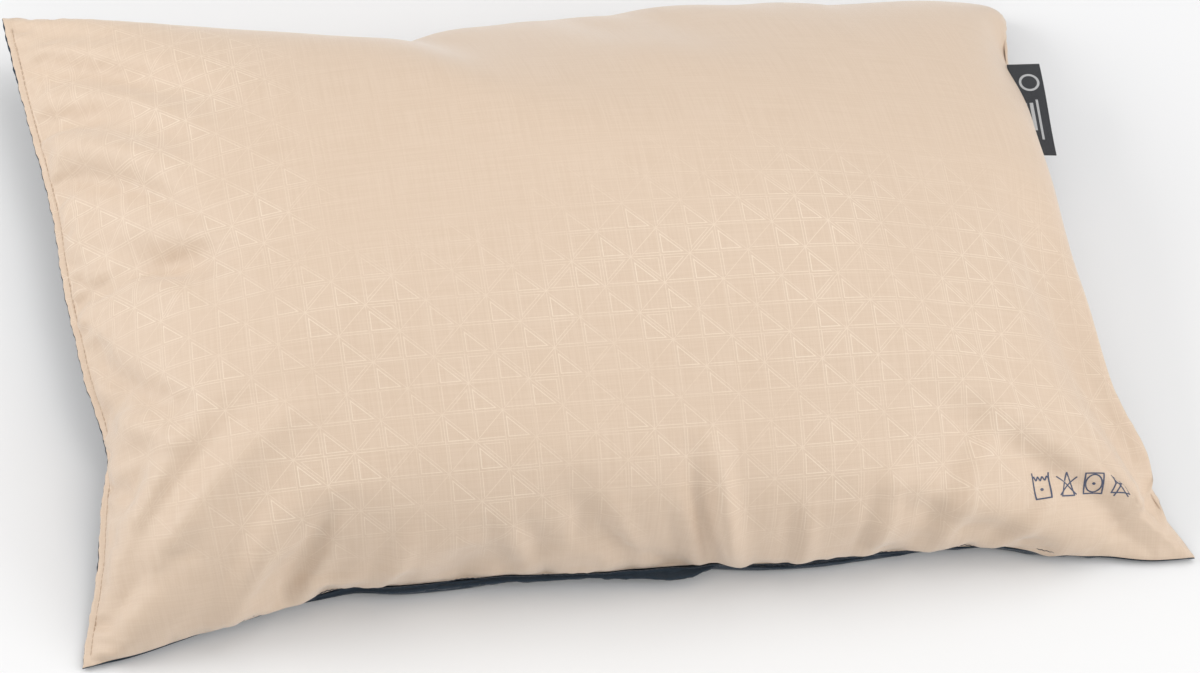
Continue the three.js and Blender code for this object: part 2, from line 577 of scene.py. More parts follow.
    @staticmethod
    def _twist() -> bpy.types.NodeTree:
        """The slanting plies of a sewing thread."""
        tree, g, entry, leave = new_group(
            "thread_twist", {"Place": (VECTOR, None), "Turns": (FLOAT, 1400.0)}, {"Height": FLOAT}
        )
        x, y = g.parts(entry["Place"])
        slant = g.math("MULTIPLY", g.math("ADD", x, y), entry["Turns"])
        g.feed(leave["Height"], g.math("ABSOLUTE", g.math("SINE", g.math("MULTIPLY", slant, math.pi))))
        return tree


class Dye:
    """A material being made: its graph, its Principled shader and its coordinates."""

    def __init__(self, name: str) -> None:
        """Starts a material with only a Principled shader."""
        self.material = bpy.data.materials.new(name)
        self.material.use_nodes = True
        self.graph = Graph(self.material.node_tree)
        self.shader = self.material.node_tree.nodes["Principled BSDF"]

    def cloth(self) -> Socket:
        """The place on the flat cloth, in metres."""
        return self.graph.node("ShaderNodeUVMap", uv_map=CUT_MAP).outputs["UV"]

    def place(self) -> Socket:
        """The place in the object's own frame, in metres."""
        return self.graph.node("ShaderNodeTexCoord").outputs["Object"]

    def set(self, **values: object) -> None:
        """Sets or joins the shader's inputs, named with underscores for spaces."""
        for name, value in values.items():
            self.graph.feed(self.shader.inputs[name.replace("_", " ")], value)

    def bump(self, height: Socket, depth: float, strength: float = 1.0) -> None:
        """Raises the surface by a height map.

        Args:
            height: the map, about 0 to 1.
            depth: how far 1 stands up, in metres.
            strength: how much of it shows.
        """
        made = self.graph.node("ShaderNodeBump")
        made.inputs["Strength"].default_value = strength
        made.inputs["Distance"].default_value = depth
        self.graph.feed(made.inputs["Height"], height)
        self.graph.feed(self.shader.inputs["Normal"], made.outputs["Normal"])


Colour = tuple[float, float, float, float]


@dataclass(frozen=True)
class FaceCloth:
    """Beige satin microfibre with a tone-on-tone lattice of lines."""

    base: Colour = (0.72, 0.565, 0.432, 1.0)
    deep: Colour = (0.665, 0.505, 0.370, 1.0)
    # the lighter colour of the lattice lines: partly the pattern's own tone, partly painted sheen
    line: Colour = (0.93, 0.80, 0.65, 1.0)
    cell: float = 0.0155
    yarn_pitch: float = 0.00032
    roughness: float = 0.5

    def make(self, effects: Effects) -> bpy.types.Material:
        """Builds the material."""
        dye = Dye("face_cloth_satin")
        g = dye.graph
        cloth = dye.cloth()
        streaks = g.group(effects.slub, cloth=cloth, across=1150.0, along=26.0).outputs["Streaks"]
        weave = g.group(effects.weave, cloth=cloth, pitch=self.yarn_pitch)
        lines = g.group(effects.lattice, cloth=cloth, cell=self.cell).outputs["Lines"]
        # the lines show only where painted sheen would catch them: faint on the crown, clear in three
        # patches
        sheen_lit_lines = g.math("MULTIPLY", lines, self.painted_sheen_mask(g, cloth, effects))
        ground = g.mix(g.ramp(streaks, 0.36, 0.64), self.deep, self.base)
        ground = g.mix(0.35, ground, self.base)
        # painted shade: the cloth darkens toward the deep colour between the yarns
        gaps = g.math("SUBTRACT", 1.0, weave.outputs["Shade"])
        shaded = g.mix(g.math("MULTIPLY", gaps, 0.18), ground, self.deep)
        # base colour lightened along the lines: the pattern's tone plus painted sheen
        dye.set(Base_Color=g.mix(g.math("MULTIPLY", sheen_lit_lines, 0.62), shaded, self.line))
        rough = g.math("ADD", self.roughness, g.math("MULTIPLY", g.math("SUBTRACT", streaks, 0.5), 0.35))
        dye.set(Roughness=g.math("SUBTRACT", rough, g.math("MULTIPLY", sheen_lit_lines, 0.16), clamp=True))
        dye.set(Sheen_Weight=0.4, Sheen_Roughness=0.45, Specular_IOR_Level=0.5)
        yarns = g.math("MULTIPLY", weave.outputs["Height"], 0.5)
        slubs = g.math("MULTIPLY", streaks, 0.9)
        raised = g.math("ADD", g.math("ADD", yarns, slubs), g.math("MULTIPLY", sheen_lit_lines, 0.8))
        dye.bump(raised, 0.00006, 0.8)
        return dye.material

    @staticmethod
    def painted_sheen_mask(g: Graph, cloth: Socket, effects: Effects) -> Socket:
        """How clearly the lattice shows, as painted sheen: faint across the crown and clear in three
        patches, where the satin would catch the light.
        """
        patches = (
            (0.12, -0.075, 0.27, 0.15),
            (-0.10, -0.10, 0.24, 0.12),
            (-0.245, 0.06, 0.12, 0.19),
        )
        total: object = 0.10
        for middle_x, middle_y, reach_x, reach_y in patches:
            patch = g.group(
                effects.spot,
                cloth=cloth,
                middle_x=middle_x,
                middle_y=middle_y,
                reach_x=reach_x,
                reach_y=reach_y,
            )
            total = g.math("MAXIMUM", total, patch.outputs["Patch"])
        uneven = g.ramp(g.noise(cloth, 14.0, 3.0), 0.35, 0.65, 0.45, 1.0)
        return g.math("MULTIPLY", total, uneven)


@dataclass(frozen=True)
class BackCloth:
    """Navy plain-weave polyester."""

    base: Colour = (0.017, 0.032, 0.052, 1.0)
    worn: Colour = (0.045, 0.07, 0.10, 1.0)
    yarn_pitch: float = 0.00045

    def make(self, effects: Effects) -> bpy.types.Material:
        """Builds the material."""
        dye = Dye("back_cloth_navy")
        g = dye.graph
        cloth = dye.cloth()
        streaks = g.group(effects.slub, cloth=cloth, across=800.0, along=30.0).outputs["Streaks"]
        weave = g.group(effects.weave, cloth=cloth, pitch=self.yarn_pitch)
        faded = g.ramp(g.noise(cloth, 9.0, 4.0), 0.4, 0.75, 0.0, 0.35)
        ground = g.mix(faded, self.base, self.worn)
        ground = g.mix(g.ramp(streaks, 0.3, 0.7, 0.0, 0.35), ground, self.worn)
        # painted shade: near-black between the yarns
        gaps = g.math("MULTIPLY", g.math("SUBTRACT", 1.0, weave.outputs["Shade"]), 0.5)
        dye.set(Base_Color=g.mix(gaps, ground, (0.006, 0.012, 0.022, 1.0)))
        dye.set(Roughness=g.ramp(streaks, 0.3, 0.7, 0.62, 0.8))
        dye.set(Sheen_Weight=0.3, Sheen_Roughness=0.4, Specular_IOR_Level=0.35)
        dye.bump(g.math("ADD", weave.outputs["Height"], streaks), 0.00009, 0.8)
        return dye.material


@dataclass(frozen=True)
class Wadding:
    """White hollow fibre."""

    base: Colour = (0.88, 0.87, 0.84, 1.0)
    shade: Colour = (0.70, 0.69, 0.66, 1.0)

    def make(self, effects: Effects) -> bpy.types.Material:
        """Builds the material."""
        dye = Dye("fibre_wadding")
        g = dye.graph
        place = dye.place()
        tufts = g.noise(place, 60.0, 6.0, 0.7)
        hairs = g.group(effects.slub, cloth=place, across=500.0, along=60.0).outputs["Streaks"]
        dye.set(Base_Color=g.mix(g.ramp(tufts, 0.35, 0.65), self.shade, self.base))
        dye.set(Roughness=g.ramp(hairs, 0.3, 0.7, 0.85, 1.0), Sheen_Weight=0.4)
        dye.bump(g.math("ADD", tufts, hairs), 0.0012, 0.8)
        return dye.material


@dataclass(frozen=True)
class SewingThread:
    """Twisted polyester thread."""

    name: str
    base: Colour
    shade: Colour

    def make(self, effects: Effects) -> bpy.types.Material:
        """Builds the material."""
        dye = Dye(self.name)
        g = dye.graph
        place = dye.place()
        plies = g.group(effects.twist, place=place).outputs["Height"]
        uneven = g.ramp(g.noise(place, 300.0), 0.35, 0.65, 0.0, 0.4)
        # darker where the noise is uneven, and painted shade in the grooves between the plies
        dark = g.math("MAXIMUM", uneven, g.ramp(plies, 0.0, 0.4, 0.8, 0.0))
        dye.set(Base_Color=g.mix(dark, self.base, self.shade))
        dye.set(Roughness=g.ramp(plies, 0.0, 1.0, 0.65, 0.42), Sheen_Weight=0.2)
        dye.bump(plies, 0.00008, 0.9)
        return dye.material


@dataclass(frozen=True)
class TagRibbon:
    """Near-black woven ribbon with plain pale marks: a ring and a few short bars."""

    base: Colour = (0.010, 0.012, 0.016, 1.0)
    rib: Colour = (0.026, 0.029, 0.036, 1.0)
    mark: Colour = (0.50, 0.51, 0.52, 1.0)
    rib_pitch: float = 0.0005
    ring_x: float = 0.0082
    ring_y: float = 0.0125
    ring_radius: float = 0.0050
    ring_width: float = 0.0013

    def make(self, effects: Effects) -> bpy.types.Material:
        """Builds the material."""
        dye = Dye("tag_ribbon")
        g = dye.graph
        cloth = dye.cloth()
        x, y = g.parts(cloth)
        weave = g.group(effects.weave, cloth=cloth, pitch=self.rib_pitch)
        streaks = g.group(effects.slub, cloth=cloth, across=900.0, along=60.0).outputs["Streaks"]
        ground = g.mix(g.math("MULTIPLY", weave.outputs["Height"], 0.8), self.base, self.rib)
        marks = g.math("MAXIMUM", self.ring(g, x, y), self.bars(g, x, y))
        broken = g.math("MULTIPLY", marks, g.ramp(weave.outputs["Shade"], 0.0, 1.0, 0.6, 1.0))
        dye.set(Base_Color=g.mix(broken, ground, self.mark))
        dye.set(Roughness=g.ramp(streaks, 0.35, 0.65, 0.5, 0.66), Sheen_Weight=0.2)
        dye.bump(g.math("ADD", weave.outputs["Height"], g.math("MULTIPLY", marks, 1.5)), 0.00008, 0.9)
        return dye.material

    def ring(self, g: Graph, x: Socket, y: Socket) -> Socket:
        """A plain woven ring."""
        across = g.math("SUBTRACT", x, self.ring_x)
        along = g.math("SUBTRACT", y, self.ring_y)
        squares = g.math("ADD", g.math("MULTIPLY", across, across), g.math("MULTIPLY", along, along))
        away = g.math("SQRT", squares)
        off = g.math("ABSOLUTE", g.math("SUBTRACT", away, self.ring_radius))
        return g.ramp(off, self.ring_width * 0.45, self.ring_width * 0.6, 1.0, 0.0)

    @staticmethod
    def bars(g: Graph, x: Socket, y: Socket) -> Socket:
        """Short bars beside the ring: place across the ribbon, first end, last end, half width."""
        total: object = 0.0
        for across, start, end, half in (
            (0.0105, 0.024, 0.050, 0.0006),
            (0.0072, 0.026, 0.044, 0.0009),
            (0.0042, 0.026, 0.050, 0.0005),
        ):
            off = g.math("ABSOLUTE", g.math("SUBTRACT", x, across))
            level = g.ramp(off, half * 0.9, half * 1.3, 1.0, 0.0)
            begun = g.math("GREATER_THAN", y, start)
            unfinished = g.math("LESS_THAN", y, end)
            bar = g.math("MULTIPLY", level, g.math("MULTIPLY", begun, unfinished))
            total = g.math("MAXIMUM", total, bar)
        return total


@dataclass(frozen=True)
class PrintInk:
    """Slate-blue textile ink, a little broken by the yarns under it."""

    base: Colour = (0.085, 0.10, 0.155, 1.0)
    thin: Colour = (0.26, 0.24, 0.26, 1.0)

    def make(self, effects: Effects) -> bpy.types.Material:
        """Builds the material."""
        dye = Dye("care_print_ink")
        g = dye.graph
        cloth = dye.cloth()
        streaks = g.group(effects.slub, cloth=cloth, across=1150.0, along=60.0).outputs["Streaks"]
        dye.set(Base_Color=g.mix(g.ramp(streaks, 0.5, 0.75, 0.0, 0.7), self.base, self.thin))
        dye.set(Roughness=g.ramp(streaks, 0.3, 0.7, 0.6, 0.75), Specular_IOR_Level=0.3)
        dye.bump(streaks, 0.00004, 0.6)
        return dye.material


@dataclass(frozen=True)
class StudioFloor:
    """Plain pale floor with a faint unevenness."""

    base: Colour = (0.86, 0.86, 0.86, 1.0)
    low: Colour = (0.83, 0.83, 0.835, 1.0)

    def make(self) -> bpy.types.Material:
        """Builds the material."""
        dye = Dye("studio_floor")
        g = dye.graph
        dye.set(Base_Color=g.mix(g.ramp(g.noise(dye.place(), 1.3, 2.0), 0.4, 0.6), self.low, self.base))
        dye.set(Roughness=0.7, Specular_IOR_Level=0.2)
        return dye.material


@dataclass
class Wardrobe:
    """Every finish, made once."""

    face: bpy.types.Material
    back: bpy.types.Material
    wadding: bpy.types.Material
    face_thread: bpy.types.Material
    back_thread: bpy.types.Material
    tag: bpy.types.Material
    ink: bpy.types.Material

    @classmethod
    def stock(cls) -> "Wardrobe":
        """Makes all the finishes."""
        effects = Effects()
        beige = SewingThread("face_thread", (0.66, 0.50, 0.36, 1.0), (0.45, 0.33, 0.23, 1.0))
        navy = SewingThread("back_thread", (0.02, 0.036, 0.058, 1.0), (0.008, 0.014, 0.024, 1.0))
        return cls(
            face=FaceCloth().make(effects),
            back=BackCloth().make(effects),
            wadding=Wadding().make(effects),
            face_thread=beige.make(effects),
            back_thread=navy.make(effects),
            tag=TagRibbon().make(effects),
            ink=PrintInk().make(effects),
        )


# ---- how every piece joins the frame ------------------------------------------------------------------

UP = (0.0, 0.0, 1.0)


def settle(piece: bpy.types.Object, slot: str, *nodes: str) -> bpy.types.Object:
    """Joins a soft piece to the frame: it rides on the back.

    Args:
        piece: the finished piece.
        slot: the record's material slot; not used.
        nodes: the CAD nodes that it stands for.

    Returns:
        The piece.
    """
    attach(piece, "back")
    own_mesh(piece)
    if nodes:
        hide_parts(*nodes)
    LOG.info("%s: %d points", piece.name, len(piece.data.vertices))
    return piece


# ---- the envelope: two panels sewn together and blown up -----------------------------------------------


@dataclass(frozen=True)
class SeamRoutes:
    """Where the four sewn sides of the stuffed pillow run, as points that each passes through."""

    near: tuple[tuple[float, float, float], ...] = (
        (-0.290, -0.197, 0.005),
        (-0.262, -0.193, 0.006),
        (-0.234, -0.186, 0.008),
        (-0.208, -0.180, 0.010),
        (-0.182, -0.173, 0.011),
        (-0.155, -0.168, 0.011),
        (-0.128, -0.170, 0.011),
        (-0.078, -0.171, 0.011),
        (-0.027, -0.175, 0.012),
        (0.025, -0.175, 0.010),
        (0.077, -0.179, 0.012),
        (0.131, -0.177, 0.011),
        (0.184, -0.178, 0.011),
        (0.211, -0.184, 0.009),
        (0.239, -0.188, 0.007),
        (0.266, -0.193, 0.006),
        (0.2925, -0.193, 0.005),
    )
    far: tuple[tuple[float, float, float], ...] = (
        (-0.291, 0.188, 0.037),
        (-0.255, 0.179, 0.036),
        (-0.217, 0.167, 0.034),
        (-0.187, 0.158, 0.029),
        (-0.120, 0.156, 0.018),
        (0.000, 0.159, 0.014),
        (0.120, 0.160, 0.014),
        (0.200, 0.162, 0.013),
        (0.235, 0.163, 0.010),
        (0.252, 0.160, 0.008),
    )
    closing: tuple[tuple[float, float, float], ...] = (
        (-0.290, -0.197, 0.005),
        (-0.286, -0.180, 0.008),
        (-0.280, -0.158, 0.014),
        (-0.275, -0.133, 0.020),
        (-0.271, -0.110, 0.024),
        (-0.2665, -0.088, 0.026),
        (-0.268, -0.066, 0.028),
        (-0.272, -0.043, 0.030),
        (-0.2745, -0.015, 0.031),
        (-0.277, 0.020, 0.032),
        (-0.278, 0.062, 0.034),
        (-0.283, 0.108, 0.035),
        (-0.287, 0.145, 0.036),
        (-0.291, 0.188, 0.037),
    )
    tag_end: tuple[tuple[float, float, float], ...] = (
        (0.2925, -0.193, 0.005),
        (0.287, -0.184, 0.007),
        (0.278, -0.174, 0.011),
        (0.268, -0.166, 0.017),
        (0.260, -0.150, 0.026),
        (0.255, -0.125, 0.033),
        (0.248, -0.090, 0.035),
        (0.251, -0.045, 0.036),
        (0.249, 0.000, 0.036),
        (0.2487, 0.047, 0.036),
        (0.2470, 0.077, 0.036),
        (0.2454, 0.107, 0.036),
        (0.2460, 0.128, 0.030),
        (0.249, 0.145, 0.018),
        (0.252, 0.160, 0.008),
    )
    ripple: float = 0.0012

    def line(self, edge: Edge, shares: np.ndarray) -> np.ndarray:
        """Points along one side, with the small rise and fall of a sewn edge.

        Args:
            edge: which side.
            shares: from 0 to 1, toward +X or +Y.

        Returns:
            One point for each share.
        """
        route = getattr(self, edge.value)
        line = smooth_route(route, shares)
        length = float(np.linalg.norm(np.diff(line, axis=0), axis=1).sum())
        waves = wander(shares * length, ((0.061, 0.4 + len(route)), (0.037, 2.0), (0.093, 4.4)))
        line[:, 2] += self.ripple * waves * np.sin(math.pi * shares) ** 0.5
        return line


@dataclass
class Envelope:
    """The sewn bag of two panels, from the flat cut to the stuffed shape."""

    cut_length: float = 0.620
    cut_width: float = 0.450
    cell: float = 0.0075
    frames: int = 44
    pressure: float = 8.0
    litres: float = 20.0
    first_puff: float = 0.012
    start_height: float = 0.03
    draw_in_frames: int = 20
    back_shrink: float = 0.13
    ends: dict[Edge, float] = field(
        default_factory=lambda: {Edge.NEAR: 0.975, Edge.FAR: 0.925, Edge.CLOSING: 0.965, Edge.TAG_END: 0.89}
    )
    far_shift: float = -0.014
    routes: SeamRoutes = SeamRoutes()

    def __post_init__(self) -> None:
        """Works out the grid."""
        self.columns = round(self.cut_length / self.cell) + 1
        self.rows = round(self.cut_width / self.cell) + 1
        self.numbers: dict[tuple[int, int, int], int] = {}

    def cut_place(self, row: float, column: float) -> tuple[float, float]:
        """A grid point's place on the flat cloth, from its middle."""
        x = self.cut_length * (column / (self.columns - 1) - 0.5)
        y = self.cut_width * (row / (self.rows - 1) - 0.5)
        return x, y

    def flat_place(self, row: int, column: int) -> tuple[float, float]:
        """A grid point's place before stuffing: each side is eased down to its sewn length."""
        x, y = self.cut_place(row, column)
        u = 2 * x / self.cut_length
        v = 2 * y / self.cut_width
        long_side = self.ends[Edge.FAR if v > 0 else Edge.NEAR]
        short_side = self.ends[Edge.TAG_END if u > 0 else Edge.CLOSING]
        shift = self.far_shift * v * v if v > 0 else 0.0
        return x * (1 - (1 - long_side) * v * v) + shift, y * (1 - (1 - short_side) * u * u)

    def on_seam(self, row: int, column: int) -> bool:
        """Whether a grid point lies on the sewn outline."""
        return row in (0, self.rows - 1) or column in (0, self.columns - 1)

    def number(self, row: int, column: int, face: Face) -> int:
        """A grid point's vertex number; the two panels share the points of the seam."""
        return self.numbers[(row, column, 0 if self.on_seam(row, column) else face.value)]

    def sew(self) -> bpy.types.Object:
        """Makes the flat bag, its two panels a little apart."""
        points = []
        for face in Face:
            for row in range(self.rows):
                for column in range(self.columns):
                    key = (row, column, 0 if self.on_seam(row, column) else face.value)
                    if key in self.numbers:
                        continue
                    x, y = self.cut_place(row, column)
                    u = 2 * x / self.cut_length
                    v = 2 * y / self.cut_width
                    lift = key[2] * self.first_puff * (1 - u * u) * (1 - v * v)
                    self.numbers[key] = len(points)
                    points.append((*self.flat_place(row, column), self.start_height + lift))
        faces = []
        for face in Face:
            for row in range(self.rows - 1):
                for column in range(self.columns - 1):
                    corners = ((row, column), (row, column + 1), (row + 1, column + 1), (row + 1, column))
                    quad = [self.number(r, c, face) for r, c in corners]
                    faces.append(quad if face is Face.FRONT else quad[::-1])
        return mesh_piece("sewn_bag", points, faces)

    def seam_places(self) -> dict[int, np.ndarray]:
        """Where each point of the seam lies on the stuffed pillow, by vertex number."""
        along = np.linspace(0, 1, self.columns)
        aside = np.linspace(0, 1, self.rows)
        places = {}
        for edge, row in ((Edge.NEAR, 0), (Edge.FAR, self.rows - 1)):
            for column, place in enumerate(self.routes.line(edge, along)):
                places[self.number(row, column, Face.FRONT)] = place
        for edge, column in ((Edge.CLOSING, 0), (Edge.TAG_END, self.columns - 1)):
            for row, place in enumerate(self.routes.line(edge, aside)):
                places[self.number(row, column, Face.FRONT)] = place
        return places

    def draw_in(self, bag: bpy.types.Object) -> bpy.types.VertexGroup:
        """Moves the seam from the flat cut to where it lies on the stuffed pillow.

        Args:
            bag: the sewn bag, which gets a shape key and its keyframes.

        Returns:
            The group of points that the simulation holds.
        """
        held = bag.vertex_groups.new(name="seam")
        eased = bag.vertex_groups.new(name="back")
        belly = [number for (_, _, side), number in self.numbers.items() if side == Face.BACK.value]
        eased.add(belly, 1.0, "REPLACE")
        bag.shape_key_add(name="flat")
        placed = bag.shape_key_add(name="placed")
        for number, place in self.seam_places().items():
            placed.data[number].co = Vector(place)
            held.add([number], 1.0, "REPLACE")
        placed.value = 0.0
        placed.keyframe_insert("value", frame=1)
        placed.value = 1.0
        placed.keyframe_insert("value", frame=self.draw_in_frames)
        return held

    def inflate(self) -> dict[Face, np.ndarray]:
        """Blows the bag up with a cloth simulation on a floor.

        Returns:
            For each panel, a grid of points, rows by columns by 3, resting on z = 0.
        """
        bag = self.sew()
        held = self.draw_in(bag)
        ground = mesh_piece("press_table", [(-1, -1, 0), (1, -1, 0), (1, 1, 0), (-1, 1, 0)], [(0, 1, 2, 3)])
        ground.modifiers.new("table", "COLLISION")
        ground.collision.thickness_outer = 0.002
        ground.collision.cloth_friction = 5.0
        cloth = bag.modifiers.new("inflate", "CLOTH")
        self.set_cloth(cloth, held.name)
        scene = bpy.context.scene
        scene.frame_start = 1
        scene.frame_end = self.frames + 1
        cloth.point_cache.frame_end = self.frames + 1
        for moment in range(1, self.frames + 1):
            scene.frame_set(moment)
        result = bag.evaluated_get(bpy.context.evaluated_depsgraph_get())
        points = np.zeros(len(result.data.vertices) * 3)
        result.data.vertices.foreach_get("co", points)
        points = points.reshape(-1, 3)
        scene.frame_set(1)
        for spent in (bag, ground):
            bpy.data.objects.remove(spent, do_unlink=True)
        low = points[:, 2].min()
        points[:, 2] = np.maximum(points[:, 2] - low, 0.0)
        LOG.info("bag blown up to %s mm", np.round((points.max(0) - points.min(0)) * 1000))
        return {face: self.panel_grid(points, face) for face in Face}

    def set_cloth(self, cloth: bpy.types.ClothModifier, held: str) -> None:
        """Gives the simulation its cloth, air and floor.

        Args:
            cloth: the modifier.
            held: the name of the group of held points.
        """
        settings = cloth.settings
        settings.quality = 6
        settings.mass = 0.3
        settings.air_damping = 2.0
        settings.tension_stiffness = 60.0
        settings.compression_stiffness = 60.0
        settings.shear_stiffness = 10.0
        settings.bending_stiffness = 0.1
        settings.bending_damping = 0.5
        settings.use_pressure = True
        settings.uniform_pressure_force = self.pressure
        settings.use_pressure_volume = True
        settings.target_volume = self.litres / 1000
        settings.vertex_group_mass = held
        settings.vertex_group_shrink = "back"
        settings.shrink_min = 0.0
        settings.shrink_max = self.back_shrink
        settings.effector_weights.gravity = 0.01
        cloth.collision_settings.use_collision = True
        cloth.collision_settings.distance_min = 0.002

    def panel_grid(self, points: np.ndarray, face: Face) -> np.ndarray:
        """Picks one panel's points out of the bag, as a grid."""
        columns = range(self.columns)
        numbers = [[self.number(row, column, face) for column in columns] for row in range(self.rows)]
        return points[np.array(numbers)]


# ---- the panels ----------------------------------------------------------------------------------------


@dataclass(frozen=True)
class Fold:
    """A soft fold in the cloth, along a straight line on the cut."""

    start: tuple[float, float]
    end: tuple[float, float]
    width: float
    height: float
    bow: float = 0.0
    valley: float = 0.6

    def raise_at(self, cut: np.ndarray) -> np.ndarray:
        """How far the fold lifts the cloth.

        Args:
            cut: places on the flat cloth.

        Returns:
            The lift at each place, in metres; it is negative in the valley beside the fold.
        """
        start = np.array(self.start)
        along = np.array(self.end) - start
        length = float(np.linalg.norm(along))
        along = along / length
        aside = np.array((-along[1], along[0]))
        share = (cut - start) @ along / length
        off = (cut - start) @ aside - self.bow * 4 * share * (1 - share)
        inside = np.clip(share, 0.0, 1.0)
        taper = np.where((share > 0) & (share < 1), np.sin(math.pi * inside) ** 0.8, 0.0)
        ridge = np.exp(-((off / self.width) ** 2))
        valley = np.exp(-(((off - 1.7 * self.width) / (1.1 * self.width)) ** 2))
        return self.height * taper * (ridge - self.valley * valley)


@dataclass(frozen=True)
class Nudge:
    """A soft push on both panels at once, round one place on the cut."""

    middle: tuple[float, float]
    reach: tuple[float, float]
    push: tuple[float, float]

    def move(self, cut: np.ndarray) -> np.ndarray:
        """How far each place is pushed.

        Args:
            cut: places on the flat cloth.

        Returns:
            The push at each place, in metres, with no rise.
        """
        off = (cut - np.array(self.middle)) / np.array(self.reach)
        share = np.exp(-(off**2).sum(axis=-1))
        return share[..., None] * np.array((*self.push, 0.0))


@dataclass(frozen=True)
class Ear:
    """The flat corner beyond the filling: it is thin, and ends at a crease."""

    root: float = 0.070
    ramp: float = 0.016
    thin: float = 0.45
    crease: float = 0.0035
    crease_width: float = 0.006

    def press(self, half: np.ndarray, tip_distance: np.ndarray, face: Face) -> np.ndarray:
        """How far the cloth moves toward the other panel.

        Args:
            half: half the way from the other panel to this one.
            tip_distance: how far each place is from the two sides of the corner, added up.
            face: which panel.

        Returns:
            The movement of each point.
        """
        flat = smooth_step(self.root + self.ramp, self.root, tip_distance)
        move = -half * (1 - self.thin) * flat[..., None]
        sunk = self.crease * np.exp(-(((tip_distance - self.root - self.ramp) / self.crease_width) ** 2))
        if face is Face.FRONT:
            move[..., 2] -= sunk
        return move


# where the dome starts to be taut, on the cut, and how much its points are evened in each round
TAUT_FROM_X = (-0.24, -0.14)
TAUT_FROM_Y = (-0.17, -0.09)
LEAST_EVENING = 0.08
MOST_EVENING = 0.55


